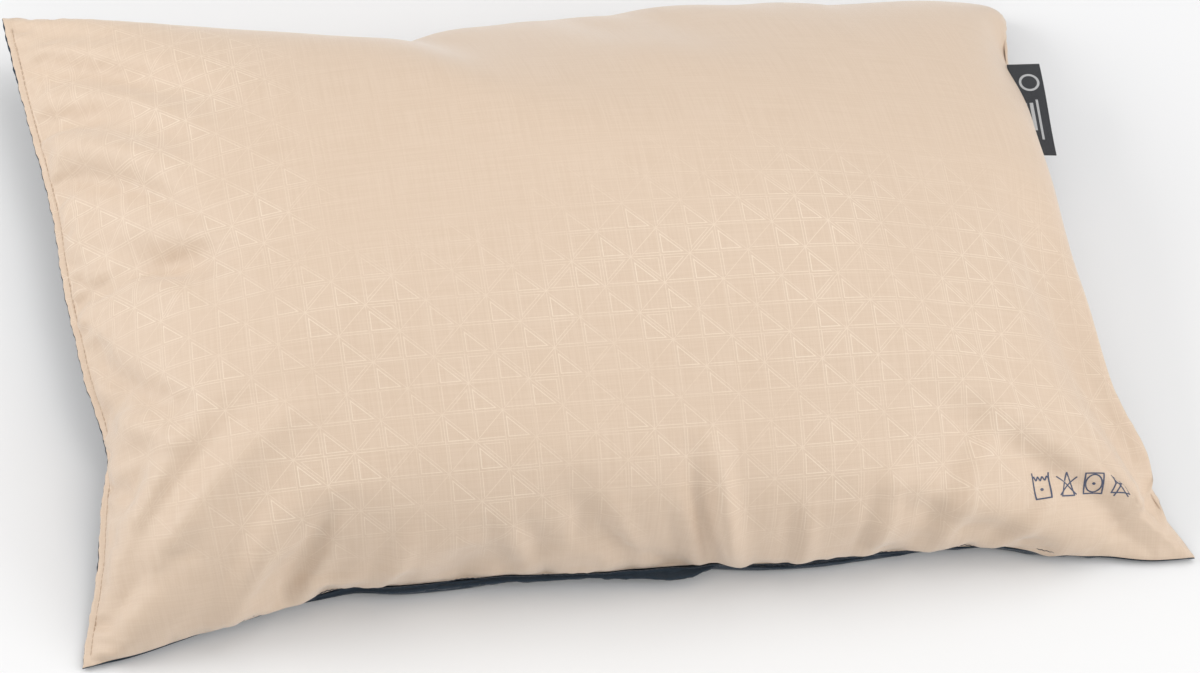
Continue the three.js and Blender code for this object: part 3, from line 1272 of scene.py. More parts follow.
@dataclass
class Panel:
    """One sewn cloth panel, from the seam's folded edges to the crown or the belly."""

    face: Face
    name: str
    node: str
    slot: str
    folds: tuple[Fold, ...] = ()
    nudges: tuple[Nudge, ...] = ()
    ear: Ear = Ear()
    relax_rounds: int = 8
    tuck_lean: float = 0.38
    tuck_soft: float = 0.003
    tuck_start: float = 0.0015
    belly: float = 0.0055
    belly_middle: float = 0.085
    belly_wave: float = 0.20
    belly_drop: float = 0.004
    part_near: float = 0.0010
    part_far: float = 0.0022
    part_start: float = 0.004
    part_reach: float = 0.06
    factor: int = 3
    wall: float = 0.0005
    lip_width: float = 0.0035
    lip_half_gap: float = 0.0007
    ditch: float = 0.0011
    gather: float = 0.0008
    gather_reach: float = 0.016
    pucker: float = 0.0024
    pucker_reach: float = 0.019

    def shape(self, grids: dict[Face, np.ndarray], envelope: Envelope) -> None:
        """Refines the simulated grid and adds what sewing does to it.

        Args:
            grids: the coarse grids of both panels.
            envelope: what they were cut to.
        """
        down = fine_places(envelope.rows, self.factor)
        across = fine_places(envelope.columns, self.factor)
        share = self.calmness(envelope)
        self.grid = resample(relax(grids[self.face], self.relax_rounds, share), down, across)
        other = resample(relax(grids[Face(-self.face.value)], self.relax_rounds, share), down, across)
        x, _ = envelope.cut_place(0, across)
        _, y = envelope.cut_place(down, 0)
        self.cut = np.stack(np.broadcast_arrays(x[None, :], y[:, None]), axis=2)
        self.length = envelope.cut_length
        self.width = envelope.cut_width
        for nudge in self.nudges:
            push = nudge.move(self.cut)
            self.grid = self.grid + push
            other = other + push
        self.half = (self.grid - other) / 2
        away = self.distances()
        corner = away[Edge.NEAR] + away[Edge.TAG_END]
        other = other + self.ear.press(-self.half, corner, Face(-self.face.value))
        self.grid = self.grid + self.ear.press(self.half, corner, self.face)
        other = self.part_at_seams(other, Face(-self.face.value))
        self.grid = self.part_at_seams(self.grid, self.face)
        if self.face is Face.BACK:
            self.tuck_under()
        self.settle_seams(other)
        self.sew_gathers()
        for fold in self.folds:
            self.grid += grid_normals(self.grid) * fold.raise_at(self.cut)[..., None]
        self.grid[..., 2] = np.maximum(self.grid[..., 2], self.floor_height())

    @staticmethod
    def calmness(envelope: Envelope) -> np.ndarray:
        """How much each point of the coarse grid is evened: most on the full, taut part of the dome."""
        x, _ = envelope.cut_place(0, np.arange(envelope.columns))
        _, y = envelope.cut_place(np.arange(envelope.rows), 0)
        taut = smooth_step(*TAUT_FROM_X, x)[None, :] * smooth_step(*TAUT_FROM_Y, y)[:, None]
        return LEAST_EVENING + (MOST_EVENING - LEAST_EVENING) * taut

    def floor_height(self) -> float:
        """The lowest that this panel may lie: the front rests on the back."""
        return 0.0012 if self.face is Face.FRONT else 0.0

    def part_at_seams(self, grid: np.ndarray, face: Face) -> np.ndarray:
        """Keeps the front above the near and far seams, and the back below them, close to the seam.

        Args:
            grid: one panel's points.
            face: which panel.

        Returns:
            The grid, so that the two panels can't cross there.
        """
        away = self.distances()
        out = grid.copy()
        for edge, seam, soft in (
            (Edge.NEAR, grid[:1, :, 2], self.part_near),
            (Edge.FAR, grid[-1:, :, 2], self.part_far),
        ):
            above = (out[..., 2] - seam) * face.value
            eased = soft * np.logaddexp(0.0, above / soft)
            share = smooth_step(self.part_reach, 0.7 * self.part_reach, away[edge])
            share = share * smooth_step(0.0, self.part_start, away[edge])
            out[..., 2] += share * (eased - above) * face.value
        return out

    def tuck_under(self) -> None:
        """Draws the belly in under the near and the far seam, where it curves down to the floor."""
        half = self.grid.shape[0] // 2
        near_half = (slice(0, half), self.grid[:1], 1.0)
        far_half = (slice(half, None), self.grid[-1:], -1.0)
        for rows, seam, side in (near_half, far_half):
            part = self.grid[rows]
            drop = np.maximum(seam[..., 2] - part[..., 2], 0.0)
            turn = 2 * math.pi * (seam[..., 0] - self.belly_middle) / self.belly_wave
            belly = self.belly * (0.5 + 0.5 * np.cos(turn)) * np.minimum(drop / self.belly_drop, 1.0)
            limit = seam[..., 1] * side + self.tuck_lean * drop - belly
            past = (part[..., 1] * side - limit) / self.tuck_soft
            eased = self.tuck_soft * np.logaddexp(0.0, past)
            fade = np.clip(drop / self.tuck_start, 0.0, 1.0)
            part[..., 1] += fade * (side * (limit + eased) - part[..., 1])

    def distances(self) -> dict[Edge, np.ndarray]:
        """How far each point is from each side of the cut."""
        x = self.cut[..., 0]
        y = self.cut[..., 1]
        return {
            Edge.CLOSING: x + self.length / 2,
            Edge.TAG_END: self.length / 2 - x,
            Edge.NEAR: y + self.width / 2,
            Edge.FAR: self.width / 2 - y,
        }

    def settle_seams(self, other: np.ndarray) -> None:
        """Parts the two panels along the seam, and draws the plain seams in to a shallow ditch.

        Args:
            other: the other panel's grid.
        """
        away = self.distances()
        middle = (self.grid + other) / 2
        inward = {
            Edge.CLOSING: middle[:, 4:5] - middle[:, :1],
            Edge.TAG_END: middle[:, -5:-4] - middle[:, -1:],
            Edge.NEAR: middle[4:5] - middle[:1],
            Edge.FAR: middle[-5:-4] - middle[-1:],
        }
        for edge, distance in away.items():
            if edge is Edge.CLOSING:
                continue
            share = np.exp(-((distance / 0.0022) ** 2))[..., None]
            self.grid = self.grid + unit(inward[edge]) * self.ditch * share
        nearest = np.minimum.reduce(list(away.values()))
        part = np.exp(-((nearest / 0.012) ** 2)) * self.lip_half_gap
        self.grid[..., 2] += self.face.value * part

    def sew_gathers(self) -> None:
        """Small gathers that the stitches pull into the cloth beside every seam."""
        away = self.distances()
        phases = {Edge.CLOSING: 0.3, Edge.TAG_END: 1.1, Edge.NEAR: 2.3, Edge.FAR: 3.7}
        lift = np.zeros(self.cut.shape[:2])
        for edge, distance in away.items():
            place = self.cut[..., 1] if edge in (Edge.CLOSING, Edge.TAG_END) else self.cut[..., 0]
            phase = phases[edge] + self.face.value
            if edge is Edge.CLOSING:
                waves = ((0.0173, phase), (0.0259, 2 * phase), (0.0117, 3 * phase))
                size = self.pucker
                reach = self.pucker_reach
            else:
                waves = ((0.0147, phase), (0.0231, 2 * phase), (0.0094, 3 * phase))
                size = self.gather
                reach = self.gather_reach
            local = wander(place + 0.25 * distance, waves) * (0.6 + 0.4 * wander(place, ((0.11, phase),)))
            shape = (distance / (0.3 * reach)) * np.exp(1 - distance / (0.3 * reach))
            lift += size * local * shape * (distance < 4 * reach)
        self.grid += grid_normals(self.grid) * (lift * self.face.value)[..., None]

    def outward_at_closing(self) -> np.ndarray:
        """The direction in which the lip stands out from the closing seam, at each row."""
        middle = self.grid - self.half
        out = unit(middle[:, 0] - middle[:, 9])
        kernel = np.ones(9) / 9
        padded = np.pad(out, ((4, 4), (0, 0)), mode="edge")
        out = np.stack([np.convolve(padded[:, axis], kernel, mode="valid") for axis in range(3)], axis=1)
        return unit(out)

    def lip_normal(self) -> np.ndarray:
        """The direction away from the other panel, at each row of the closing seam."""
        run = unit(np.gradient(self.grid[:, 0], axis=0))
        lift = unit(np.cross(run, self.outward_at_closing()))
        return lift * np.sign(lift[:, 2:3]) * self.face.value

    def lip(self) -> tuple[np.ndarray, np.ndarray]:
        """The folded edge beyond the closing seam: out over the outside, round, and back inside.

        Returns:
            Its points, from the inside end to the seam, and their places on the cut.
        """
        out = self.outward_at_closing()
        line = self.grid[:, 0]
        lift = self.lip_normal()
        y = self.cut[:, 0, 1]
        edge = self.lip_width * (1 + 0.12 * wander(y, ((0.0081, 1.0), (0.021, 2.0))))
        wave = 0.0003 * wander(y, ((0.0067, 0.5 * self.face.value), (0.0129, 2.2)))
        fold = 0.0006
        sections = (
            (0.25, -0.9),
            (0.75, -1.0),
            (0.96, -0.75),
            (1.0, -0.4),
            (0.97, -0.1),
            (0.8, 0.05),
            (0.5, 0.12),
            (0.25, 0.1),
        )
        columns = []
        places = []
        for share, height in sections:
            reach = (edge * share)[:, None]
            columns.append(line + out * reach + lift * (fold * height + wave * share)[:, None])
            turned = height <= -0.4
            spread = 2 * edge - edge * share if turned else edge * share
            places.append(np.stack([self.cut[:, 0, 0] - spread, y], axis=1))
        return np.stack(columns, axis=1), np.stack(places, axis=1)

    def build(self, cloth: bpy.types.Material) -> bpy.types.Object:
        """Makes the panel's mesh, gives it the cloth's thickness and dresses it.

        Args:
            cloth: its finish.

        Returns:
            The finished panel, joined to the frame.
        """
        lip_points, lip_places = self.lip()
        points = np.concatenate([lip_points, self.grid], axis=1)
        places = np.concatenate([lip_places, self.cut], axis=1)
        rows, columns = points.shape[:2]
        faces = grid_faces(rows, columns, self.face is Face.FRONT)
        sheet = mesh_piece(self.name, points.reshape(-1, 3), faces, places.reshape(-1, 2))
        thick = sheet.modifiers.new("wall", "SOLIDIFY")
        thick.thickness = self.wall
        thick.offset = -1.0
        solid = bpy.data.meshes.new_from_object(sheet.evaluated_get(bpy.context.evaluated_depsgraph_get()))
        sheet.modifiers.clear()
        sheet.data = solid
        solid.name = self.name
        for vertex in solid.vertices:
            vertex.co.z = max(vertex.co.z, 0.0)
        solid.materials.append(cloth)
        settle(sheet, self.slot, self.node)
        return sheet

    def surface(self, cut_x: np.ndarray, cut_y: np.ndarray, lift: float) -> np.ndarray:
        """Points a little above the panel, at places on the cut.

        Args:
            cut_x: places along the cloth.
            cut_y: places across it.
            lift: how far above the cloth they lie.

        Returns:
            One point for each place.
        """
        columns = np.interp(cut_x, self.cut[0, :, 0], np.arange(self.cut.shape[1]))
        rows = np.interp(cut_y, self.cut[:, 0, 1], np.arange(self.cut.shape[0]))
        raised = self.grid + grid_normals(self.grid) * lift * self.face.value
        row = np.minimum(rows.astype(int), self.cut.shape[0] - 2)
        column = np.minimum(columns.astype(int), self.cut.shape[1] - 2)
        down = (rows - row)[:, None]
        right = (columns - column)[:, None]
        top = raised[row, column] * (1 - right) + raised[row, column + 1] * right
        bottom = raised[row + 1, column] * (1 - right) + raised[row + 1, column + 1] * right
        return top * (1 - down) + bottom * down


FACE_FOLDS = (
    Fold((-0.130, 0.185), (0.180, 0.190), 0.036, 0.0080, 0.0, 0.0),
    Fold((0.052, -0.223), (0.030, -0.125), 0.0070, 0.0070, 0.005),
    Fold((0.030, -0.223), (0.012, -0.160), 0.0050, 0.0034),
    Fold((0.004, -0.223), (-0.030, -0.150), 0.0060, 0.0030),
    Fold((-0.062, -0.223), (-0.085, -0.160), 0.0065, 0.0026),
    Fold((0.084, -0.223), (0.080, -0.165), 0.0055, 0.0026),
    Fold((0.120, -0.223), (0.128, -0.150), 0.0060, 0.0034),
    Fold((0.152, -0.223), (0.200, -0.120), 0.0080, 0.0046, 0.006),
    Fold((0.185, -0.223), (0.232, -0.160), 0.0060, 0.0030),
    Fold((-0.290, -0.206), (-0.170, -0.090), 0.0105, 0.0058, 0.010),
    Fold((-0.296, -0.180), (-0.225, -0.090), 0.0090, 0.0046, 0.004),
    Fold((-0.240, -0.221), (-0.190, -0.140), 0.0080, 0.0040),
    Fold((-0.196, -0.222), (-0.158, -0.150), 0.0065, 0.0036),
    Fold((-0.150, -0.223), (-0.128, -0.165), 0.0060, 0.0028),
    Fold((-0.304, -0.070), (-0.235, -0.110), 0.0080, 0.0038),
    Fold((-0.304, 0.030), (-0.225, -0.030), 0.0095, 0.0042, 0.004),
    Fold((-0.304, 0.120), (-0.215, 0.055), 0.0095, 0.0042, 0.004),
)
NUDGES = (
    Nudge((0.03, -0.225), (0.20, 0.08), (0.0, 0.004)),
    Nudge((0.30, -0.005), (0.12, 0.065), (-0.0065, 0.0)),
    Nudge((0.30, -0.16), (0.08, 0.05), (0.007, 0.0)),
    Nudge((0.29, 0.215), (0.07, 0.055), (0.013, 0.003)),
    Nudge((-0.190, 0.225), (0.09, 0.07), (0.0, -0.010)),
    Nudge((-0.090, 0.225), (0.06, 0.05), (0.0, -0.004)),
)


# ---- the filling ---------------------------------------------------------------------------------------


@dataclass
class Filling:
    """The loose fibre that holds the panels up."""

    name: str = "fibre_wadding"
    clearance: float = 0.004
    least_share: float = 0.3
    margin: float = 0.0045
    trim: int = 18
    step: int = 2
    lump: float = 0.0011
    wraps: int = 2
    seam_room: float = 0.012
    floor_room: float = 0.0015

    def build(self, front: Panel, back: Panel, wadding: bpy.types.Material) -> bpy.types.Object:
        """Makes one closed body a little inside both panels.

        Args:
            front: the front panel.
            back: the back panel.
            wadding: its finish.

        Returns:
            The finished filling, joined to the frame.
        """
        window = slice(self.trim, -self.trim, self.step)
        half = (front.grid - back.grid)[window, window] / 2
        middle = (front.grid + back.grid)[window, window] / 2
        depth = np.linalg.norm(half, axis=2, keepdims=True)
        lumps = self.lump * np.sin(middle[..., :1] * 190) * np.sin(middle[..., 1:2] * 230 + 1)
        share = np.maximum(1 - (self.clearance - lumps) / np.maximum(depth, 1e-6), self.least_share)
        layers = {face: middle + half * share * face.value for face in Face}
        body = self.close(layers)
        self.keep_inside(body, front, back)
        self.hold_back(body, front)
        body.data.materials.append(wadding)
        settle(body, "filling", "fibre_fill")
        return body

    def keep_inside(self, body: bpy.types.Object, front: Panel, back: Panel) -> None:
        """Draws in every point that lies outside the bag or too close to its cloth.

        Args:
            body: the filling.
            front: the front panel.
            back: the back panel.
        """
        rows, columns = front.grid.shape[:2]
        count = rows * columns
        numbers = np.arange(count).reshape(rows, columns)
        rim = np.concatenate([numbers[0, :-1], numbers[:-1, -1], numbers[-1, :0:-1], numbers[:0:-1, 0]])
        faces = grid_faces(rows, columns, True) + grid_faces(rows, columns, False, count)
        for here, after in zip(rim.tolist(), np.roll(rim, -1).tolist()):
            faces.append((here + count, after + count, after, here))
        points = np.concatenate([front.grid.reshape(-1, 3), back.grid.reshape(-1, 3)])
        wall = mesh_piece("bag_wall", points, faces)
        for number in range(self.wraps):
            wrap = body.modifiers.new(f"wrap_{number}", "SHRINKWRAP")
            wrap.target = wall
            wrap.wrap_method = "NEAREST_SURFACEPOINT"
            wrap.wrap_mode = "INSIDE"
            wrap.offset = self.margin
        shaped = bpy.data.meshes.new_from_object(body.evaluated_get(bpy.context.evaluated_depsgraph_get()))
        body.modifiers.clear()
        body.data = shaped
        shaped.name = self.name
        bpy.data.objects.remove(wall, do_unlink=True)

    def hold_back(self, body: bpy.types.Object, front: Panel) -> None:
        """Keeps the filling well clear of the near and far seams, and off the floor.

        Args:
            body: the filling.
            front: the front panel, whose first and last rows are those seams.
        """
        flat = np.zeros(len(body.data.vertices) * 3)
        body.data.vertices.foreach_get("co", flat)
        points = flat.reshape(-1, 3)
        near, far = front.grid[0], front.grid[-1]
        lowest = np.interp(points[:, 0], near[:, 0], near[:, 1]) + self.seam_room
        highest = np.interp(points[:, 0], far[:, 0], far[:, 1]) - self.seam_room
        points[:, 1] = np.clip(points[:, 1], lowest, highest)
        points[:, 2] = np.maximum(points[:, 2], self.floor_room)
        body.data.vertices.foreach_set("co", points.ravel())

    def close(self, layers: dict[Face, np.ndarray]) -> bpy.types.Object:
        """Joins the upper and the lower layer round their edge.

        Args:
            layers: the two grids of points.

        Returns:
            The closed body.
        """
        front = layers[Face.FRONT]
        back = layers[Face.BACK]
        rows, columns = front.shape[:2]
        edge = np.zeros((rows, columns), bool)
        edge[[0, -1]] = True
        edge[:, [0, -1]] = True
        front[edge] = (front[edge] + back[edge]) / 2
        upper = np.arange(rows * columns).reshape(rows, columns)
        lower = np.where(edge, upper, rows * columns + np.cumsum(~edge).reshape(rows, columns) - 1)
        points = np.concatenate([front.reshape(-1, 3), back[~edge]])
        faces = []
        for numbers, up in ((upper, True), (lower, False)):
            for row, column in np.ndindex(rows - 1, columns - 1):
                block = numbers[row : row + 2, column : column + 2]
                quad = (block[0, 0], block[0, 1], block[1, 1], block[1, 0])
                faces.append(tuple(int(n) for n in (quad if up else quad[::-1])))
        return mesh_piece(self.name, points, faces)


# ---- the threads ---------------------------------------------------------------------------------------


@dataclass
class TopStitching:
    """The row of stitches that closes the lip, as it shows on one panel."""

    name: str
    node: str
    slot: str
    pitch: float = 0.0036
    gap: float = 0.0007
    radius: float = 0.0003
    end_margin: float = 0.008
    rings: int = 6
    sides: int = 6

    def build(self, panel: Panel, thread: bpy.types.Material) -> bpy.types.Object:
        """Lays one short thread for each stitch along the closing seam.

        Args:
            panel: the panel that it shows on.
            thread: its finish.

        Returns:
            The row of stitches, joined to the frame.
        """
        y = panel.cut[:, 0, 1]
        line = panel.grid[:, 0]
        normal = panel.lip_normal()
        start = y[0] + self.end_margin
        count = int((y[-1] - self.end_margin - start) / self.pitch)
        points: list = []
        faces: list = []
        for number in range(count):
            places = start + self.pitch * number + np.linspace(0, self.pitch - self.gap, self.rings)
            arch = np.sin(np.linspace(0, math.pi, self.rings)) ** 0.5
            lift = -0.6 * self.radius + arch * (self.radius * 1.25)
            middle = np.stack([np.interp(places, y, line[:, axis]) for axis in range(3)], axis=1)
            away = np.stack([np.interp(places, y, normal[:, axis]) for axis in range(3)], axis=1)
            path = middle + away * lift[:, None]
            ring_points, ring_faces = swept_tube(path, np.full(self.rings, self.radius), self.sides)
            first = len(points)
            points.extend(ring_points)
            faces.extend(tuple(first + corner for corner in ring) for ring in ring_faces)
        row = mesh_piece(self.name, points, faces)
        row.data.materials.append(thread)
        return settle(row, self.slot, self.node)


@dataclass
class SeamThread:
    """The lockstitch hidden inside one plain seam."""

    name: str
    node: str
    edge: Edge
    inside: float = 0.0032
    radius: float = 0.00025
    stitch: float = 0.0028
    swing: float = 0.0003
    end_margin: float = 0.016
    steps_per_stitch: int = 5
    sides: int = 5

    def build(self, front: Panel, back: Panel, thread: bpy.types.Material) -> bpy.types.Object:
        """Runs the thread along the seam, just inside the cloth.

        Args:
            front: the front panel.
            back: the back panel.
            thread: its finish.

        Returns:
            The thread, joined to the frame.
        """
        middle = (front.grid + back.grid) / 2
        rows = {
            Edge.NEAR: (middle[0], middle[6]),
            Edge.FAR: (middle[-1], middle[-7]),
            Edge.TAG_END: (middle[:, -1], middle[:, -7]),
        }
        outer, inner = rows[self.edge]
        line = outer + unit(inner - outer) * self.inside
        lengths = np.concatenate([[0.0], np.cumsum(np.linalg.norm(np.diff(line, axis=0), axis=1))])
        count = int((lengths[-1] - 2 * self.end_margin) / self.stitch * self.steps_per_stitch)
        places = np.linspace(self.end_margin, lengths[-1] - self.end_margin, count)
        path = np.stack([np.interp(places, lengths, line[:, axis]) for axis in range(3)], axis=1)
        path[:, 2] += self.swing * np.sin(2 * math.pi * places / self.stitch)
        points, faces = swept_tube(path, np.full(count, self.radius), self.sides)
        piece = mesh_piece(self.name, points, faces)
        piece.data.materials.append(thread)
        return settle(piece, "back_thread", self.node)


# ---- the tag -------------------------------------------------------------------------------------------


@dataclass
class Tag:
    """The folded ribbon sewn into the short seam."""

    name: str = "side_ribbon"
    length: float = 0.060
    reach: float = 0.016
    tucked: float = 0.0022
    ply: float = 0.00042
    ply_gap: float = 0.00012
    curl: float = 0.0009
    steps_along: int = 60
    steps_across: int = 20

    def build(self, ribbon: bpy.types.Material) -> bpy.types.Object:
        """Makes the two plies and their fold as one thin closed strip.

        Args:
            ribbon: its finish.

        Returns:
            The tag, riding on its own body.
        """
        hinge = next(joint for joint in frame["joints"] if joint["name"] == "tag_flap")
        origin = np.array(hinge["pos_m"])
        along = -np.array(hinge["axis"])  # from the far end toward the near one
        out = np.cross(np.array(hinge["axis"]), UP)
        up = np.array(UP)
        across = self.cross_section()
        places = np.linspace(0, self.length, self.steps_along + 1)
        points = []
        uvs = []
        for place in places:
            share = place / self.length
            wave = self.curl * (math.sin(5.1 * share + 0.4) - 0.3)
            for reach, height, flat in across:
                bend = wave * (max(reach, 0.0) / self.reach) ** 1.5
                point = origin + along * (place - self.length / 2) + out * reach + up * (height + bend)
                points.append(point)
                uvs.append((flat, place))
        ring = len(across)
        faces = []
        for step in range(self.steps_along):
            for number in range(ring):
                after = (number + 1) % ring
                a = step * ring
                faces.append((a + number, a + ring + number, a + ring + after, a + after))
        faces.append(tuple(range(ring)))
        faces.append(tuple(range(self.steps_along * ring, (self.steps_along + 1) * ring))[::-1])
        tag = mesh_piece(self.name, points, faces, np.array(uvs))
        tag.data.materials.append(ribbon)
        for face in tag.data.polygons:
            if len(face.vertices) > 4:
                face.use_smooth = False
        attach(tag, "tag")
        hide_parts("side_tag")
        LOG.info("%s: %d points", tag.name, len(points))
        return tag

    def cross_section(self) -> list[tuple[float, float, float]]:
        """The strip's outline across the tag, as one closed ring.

        Returns:
            For each point the reach from the hinge line, the height, and the place on the flat ribbon.
        """
        outer = self.ply + self.ply_gap / 2
        inner = self.ply_gap / 2
        straight = np.linspace(-self.tucked, self.reach - outer, self.steps_across)
        angles = np.linspace(math.pi / 2, -math.pi / 2, 9)[1:-1]
        bulge = 1.25  # the fold stands a little fatter than the plies
        ring = [(reach, outer, reach) for reach in straight]
        for angle in angles:
            reach = self.reach - outer + math.cos(angle) * outer * bulge
            ring.append((reach, math.sin(angle) * outer * bulge, self.reach))
        ring += [(reach, -outer, 2 * self.reach - reach) for reach in straight[::-1]]
        ring += [(reach, -inner, 2 * self.reach - reach) for reach in straight]
        ring += [(reach, inner, reach) for reach in straight[::-1]]
        return ring


# ---- the printed care marks ----------------------------------------------------------------------------

Stroke = list[tuple[float, float]]


def circle(middle: tuple[float, float], radius: float, steps: int = 28) -> Stroke:
    """A closed round stroke."""
    angles = [2 * math.pi * step / steps for step in range(steps + 1)]
    return [(middle[0] + radius * math.cos(a), middle[1] + radius * math.sin(a)) for a in angles]


class CareMark(Enum):
    """The four care marks of a washable pillow, each drawn in a square of side 1."""

    WASH = "wash"
    NO_BLEACH = "no_bleach"
    TUMBLE_LOW = "tumble_low"
    NO_IRON = "no_iron"

    def strokes(self) -> list[Stroke]:
        """The mark's lines."""
        if self is CareMark.WASH:
            shares = [step / 24 for step in range(25)]
            water = [(0.04 + 0.92 * t, 0.80 + 0.07 * math.sin(2 * math.pi * 3.5 * t)) for t in shares]
            return [[(0.0, 1.0), (0.15, 0.0), (0.85, 0.0), (1.0, 1.0)], water]
        if self is CareMark.NO_BLEACH:
            triangle = [(0.5, 1.0), (0.92, 0.0), (0.08, 0.0), (0.5, 1.0)]
            return [triangle, [(-0.03, 0.80), (1.03, 0.04)], [(1.03, 0.80), (-0.03, 0.04)]]
        if self is CareMark.TUMBLE_LOW:
            square = [(0.04, 0.04), (0.96, 0.04), (0.96, 0.96), (0.04, 0.96), (0.04, 0.04)]
            return [square, circle((0.5, 0.5), 0.40)]
        iron = [(0.02, 0.12), (1.05, 0.12), (0.82, 0.62), (0.22, 0.55), (0.02, 0.12)]
        handle = [(0.22, 0.55), (0.14, 0.86), (0.62, 0.90), (0.82, 0.62)]
        return [iron, handle, [(0.18, -0.02), (0.80, 0.95)], [(0.92, -0.02), (0.02, 0.92)]]

    def dots(self) -> list[tuple[float, float, float]]:
        """The mark's filled dots: place and radius."""
        if self is CareMark.WASH:
            return [(0.5, 0.36, 0.085)]
        if self is CareMark.TUMBLE_LOW:
            return [(0.5, 0.5, 0.085)]
        return []


@dataclass
class CarePrint:
    """The row of care marks printed on the front, near the corner below the tag."""

    first_x: float = 0.206
    base_y: float = -0.180
    size: float = 0.0106
    tall: float = 0.0148
    pitch: float = 0.0149
    line: float = 0.00085
    step: float = 0.0007
    lift: float = 0.00012

    def build(self, panel: Panel, ink: bpy.types.Material) -> list[bpy.types.Object]:
        """Prints every mark on the panel.

        Args:
            panel: the front panel.
            ink: the print's finish.

        Returns:
            One thin piece for each mark, joined to the frame.
        """
        return [self.print_mark(mark, number, panel, ink) for number, mark in enumerate(CareMark)]

    def print_mark(
        self, mark: CareMark, number: int, panel: Panel, ink: bpy.types.Material
    ) -> bpy.types.Object:
        """Prints one mark.

        Args:
            mark: which one.
            number: its place in the row.
            panel: the front panel.
            ink: the print's finish.

        Returns:
            The finished piece.
        """
        places: list = []
        faces: list = []
        for stroke in mark.strokes():
            self.draw_stroke(stroke, places, faces)
        for x, y, radius in mark.dots():
            self.draw_dot(x, y, radius, places, faces)
        flat = np.array(places)
        flat[:, 0] += self.first_x + self.pitch * number
        flat[:, 1] += self.base_y
        points = panel.surface(flat[:, 0], flat[:, 1], self.lift)
        piece = mesh_piece("care_" + mark.value, points, faces, flat)
        piece.data.materials.append(ink)
        return settle(piece, "face_cloth")

    def draw_stroke(self, stroke: Stroke, places: list, faces: list) -> None:
        """Adds a line of even width along a stroke.

        Args:
            stroke: its corners, in the mark's square.
            places: the mark's points so far, on the cut.
            faces: its faces so far.
        """
        corners = np.array(stroke) * (self.size, self.tall)
        for start, end in zip(corners[:-1], corners[1:]):
            length = float(np.linalg.norm(end - start))
            along = (end - start) / length
            aside = np.array((-along[1], along[0])) * self.line / 2
            cap = along * self.line * 0.3
            steps = max(1, round(length / self.step))
            first = len(places)
            for share in np.linspace(0, 1, steps + 1):
                middle = (start - cap) * (1 - share) + (end + cap) * share
                places.append(middle - aside)
                places.append(middle + aside)
            for step in range(steps):
                a = first + 2 * step
                faces.append((a, a + 2, a + 3, a + 1))

    def draw_dot(self, x: float, y: float, radius: float, places: list, faces: list) -> None:
        """Adds a filled dot.

        Args:
            x: its place across the mark's square.
            y: its place up the square.
            radius: its radius, as a share of the square.
            places: the mark's points so far, on the cut.
            faces: its faces so far.
        """
        first = len(places)
        rim = circle((x * self.size, y * self.tall), radius * self.size, 16)[:-1]
        places.extend(np.array(point) for point in rim)
        faces.append(tuple(range(first, first + len(rim))))


# ---- the scene -----------------------------------------------------------------------------------------


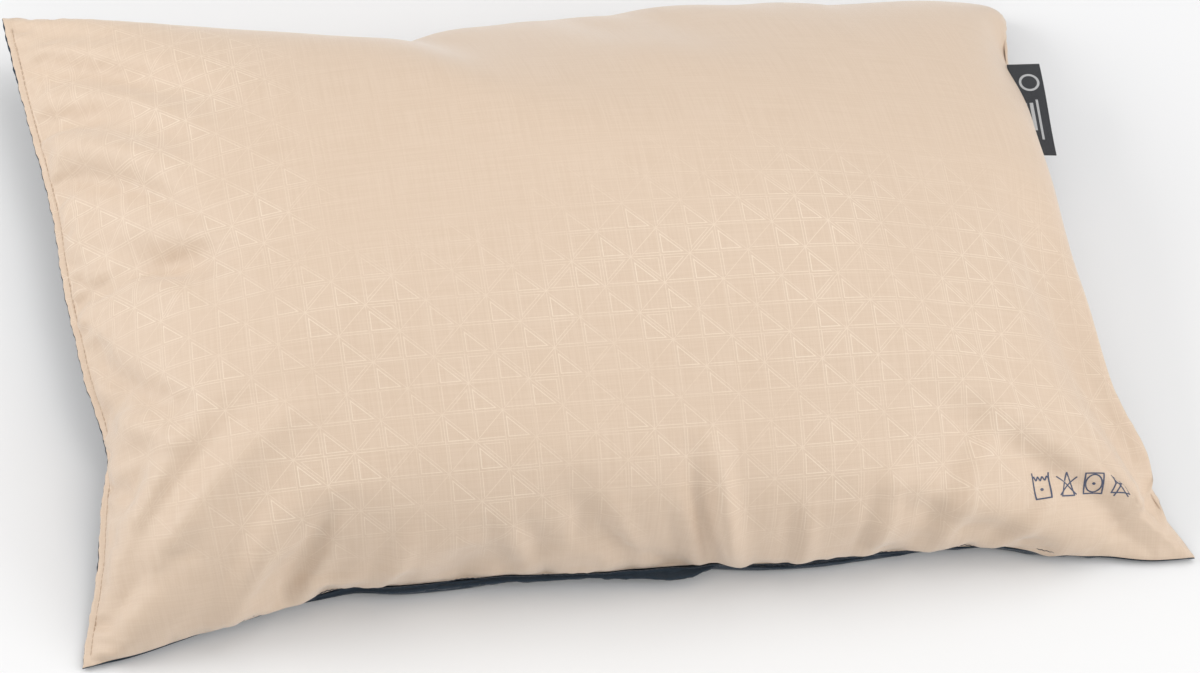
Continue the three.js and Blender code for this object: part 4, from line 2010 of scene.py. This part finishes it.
@dataclass
class Studio:
    """Floor, soft lights and camera."""

    azimuth: float = -19.7
    elevation: float = 56.6
    distance: float = 2.66
    lens: float = 150.0
    roll: float = 12.0
    target: tuple[float, float, float] = (0.002, -0.024, 0.0)
    floor_half: float = 4.0

    def build(self) -> None:
        """Makes the floor, the lights, the world and the camera."""
        self.lay_floor()
        self.hang_light("window", (-1.3, 0.30, 0.80), 0.9, 11.5)
        self.hang_light("overhead", (0.6, 0.7, 1.8), 1.5, 12.0)
        self.hang_light("side_fill", (1.6, -0.5, 1.1), 1.2, 15.0)
        self.hang_light("front_fill", (0.1, -1.7, 1.0), 1.2, 6.0)
        self.light_world(0.43)
        self.aim_camera()

    def lay_floor(self) -> None:
        """A plain pale floor under the pillow."""
        half = self.floor_half
        drop = -0.0004
        corners = [(-half, -half, drop), (half, -half, drop), (half, half, drop), (-half, half, drop)]
        floor = mesh_piece("studio_floor", corners, [(0, 1, 2, 3)], smooth=False)
        floor.data.materials.append(StudioFloor().make())

    @staticmethod
    def hang_light(name: str, place: tuple[float, float, float], size: float, power: float) -> None:
        """A square soft light turned to the pillow.

        Args:
            name: its name.
            place: where it hangs, in metres.
            size: the side of the square.
            power: in watts.
        """
        lamp = bpy.data.lights.new(name, "AREA")
        lamp.size = size
        lamp.energy = power
        light = bpy.data.objects.new(name, lamp)
        light.location = place
        light.rotation_mode = "QUATERNION"
        light.rotation_quaternion = (Vector((0, 0, 0.05)) - Vector(place)).to_track_quat("-Z", "Y")
        bpy.context.scene.collection.objects.link(light)

    @staticmethod
    def light_world(strength: float) -> None:
        """Even white light from all round."""
        world = bpy.data.worlds.new("studio_air")
        world.use_nodes = True
        ground = world.node_tree.nodes["Background"]
        ground.inputs["Color"].default_value = (1.0, 1.0, 1.0, 1.0)
        ground.inputs["Strength"].default_value = strength
        bpy.context.scene.world = world
        bpy.context.scene.view_settings.view_transform = "Standard"

    def aim_camera(self) -> None:
        """Places the camera round its target and makes it the scene's."""
        lens = bpy.data.cameras.new("camera")
        lens.lens = self.lens
        camera = bpy.data.objects.new("camera", lens)
        turn = math.radians(self.azimuth)
        rise = math.radians(self.elevation)
        back = Vector((math.sin(turn) * math.cos(rise), -math.cos(turn) * math.cos(rise), math.sin(rise)))
        camera.location = Vector(self.target) + back * self.distance
        camera.rotation_mode = "QUATERNION"
        level = (-back).to_track_quat("-Z", "Y")
        camera.rotation_quaternion = level @ Quaternion((0, 0, 1), math.radians(self.roll))
        bpy.context.scene.collection.objects.link(camera)
        bpy.context.scene.camera = camera


def main() -> None:
    """Builds the pillow piece by piece, then its studio."""
    logging.basicConfig(level=logging.INFO, format="%(message)s")
    finishes = Wardrobe.stock()
    envelope = Envelope()
    grids = envelope.inflate()
    front = Panel(Face.FRONT, "front_panel", "front_cover", "face_cloth", FACE_FOLDS, NUDGES)
    back = Panel(Face.BACK, "back_panel", "back_cover", "back_cloth", (), NUDGES)
    for panel, cloth in ((front, finishes.face), (back, finishes.back)):
        panel.shape(grids, envelope)
        panel.build(cloth)
    Filling().build(front, back, finishes.wadding)
    for panel, name, node, slot, thread in (
        (front, "closing_stitches_front", "closing_stitch_front", "face_thread", finishes.face_thread),
        (back, "closing_stitches_back", "closing_stitch_back", "back_thread", finishes.back_thread),
    ):
        TopStitching(name, node, slot).build(panel, thread)
    for name, node, edge in (
        ("near_seam_stitches", "front_seam_thread", Edge.NEAR),
        ("far_seam_stitches", "rear_seam_thread", Edge.FAR),
        ("tag_seam_stitches", "tag_end_seam_thread", Edge.TAG_END),
    ):
        SeamThread(name, node, edge).build(front, back, finishes.back_thread)
    Tag().build(finishes.tag)
    CarePrint().build(front, finishes.ink)
    Studio().build()


if __name__ == "__main__":
    main()
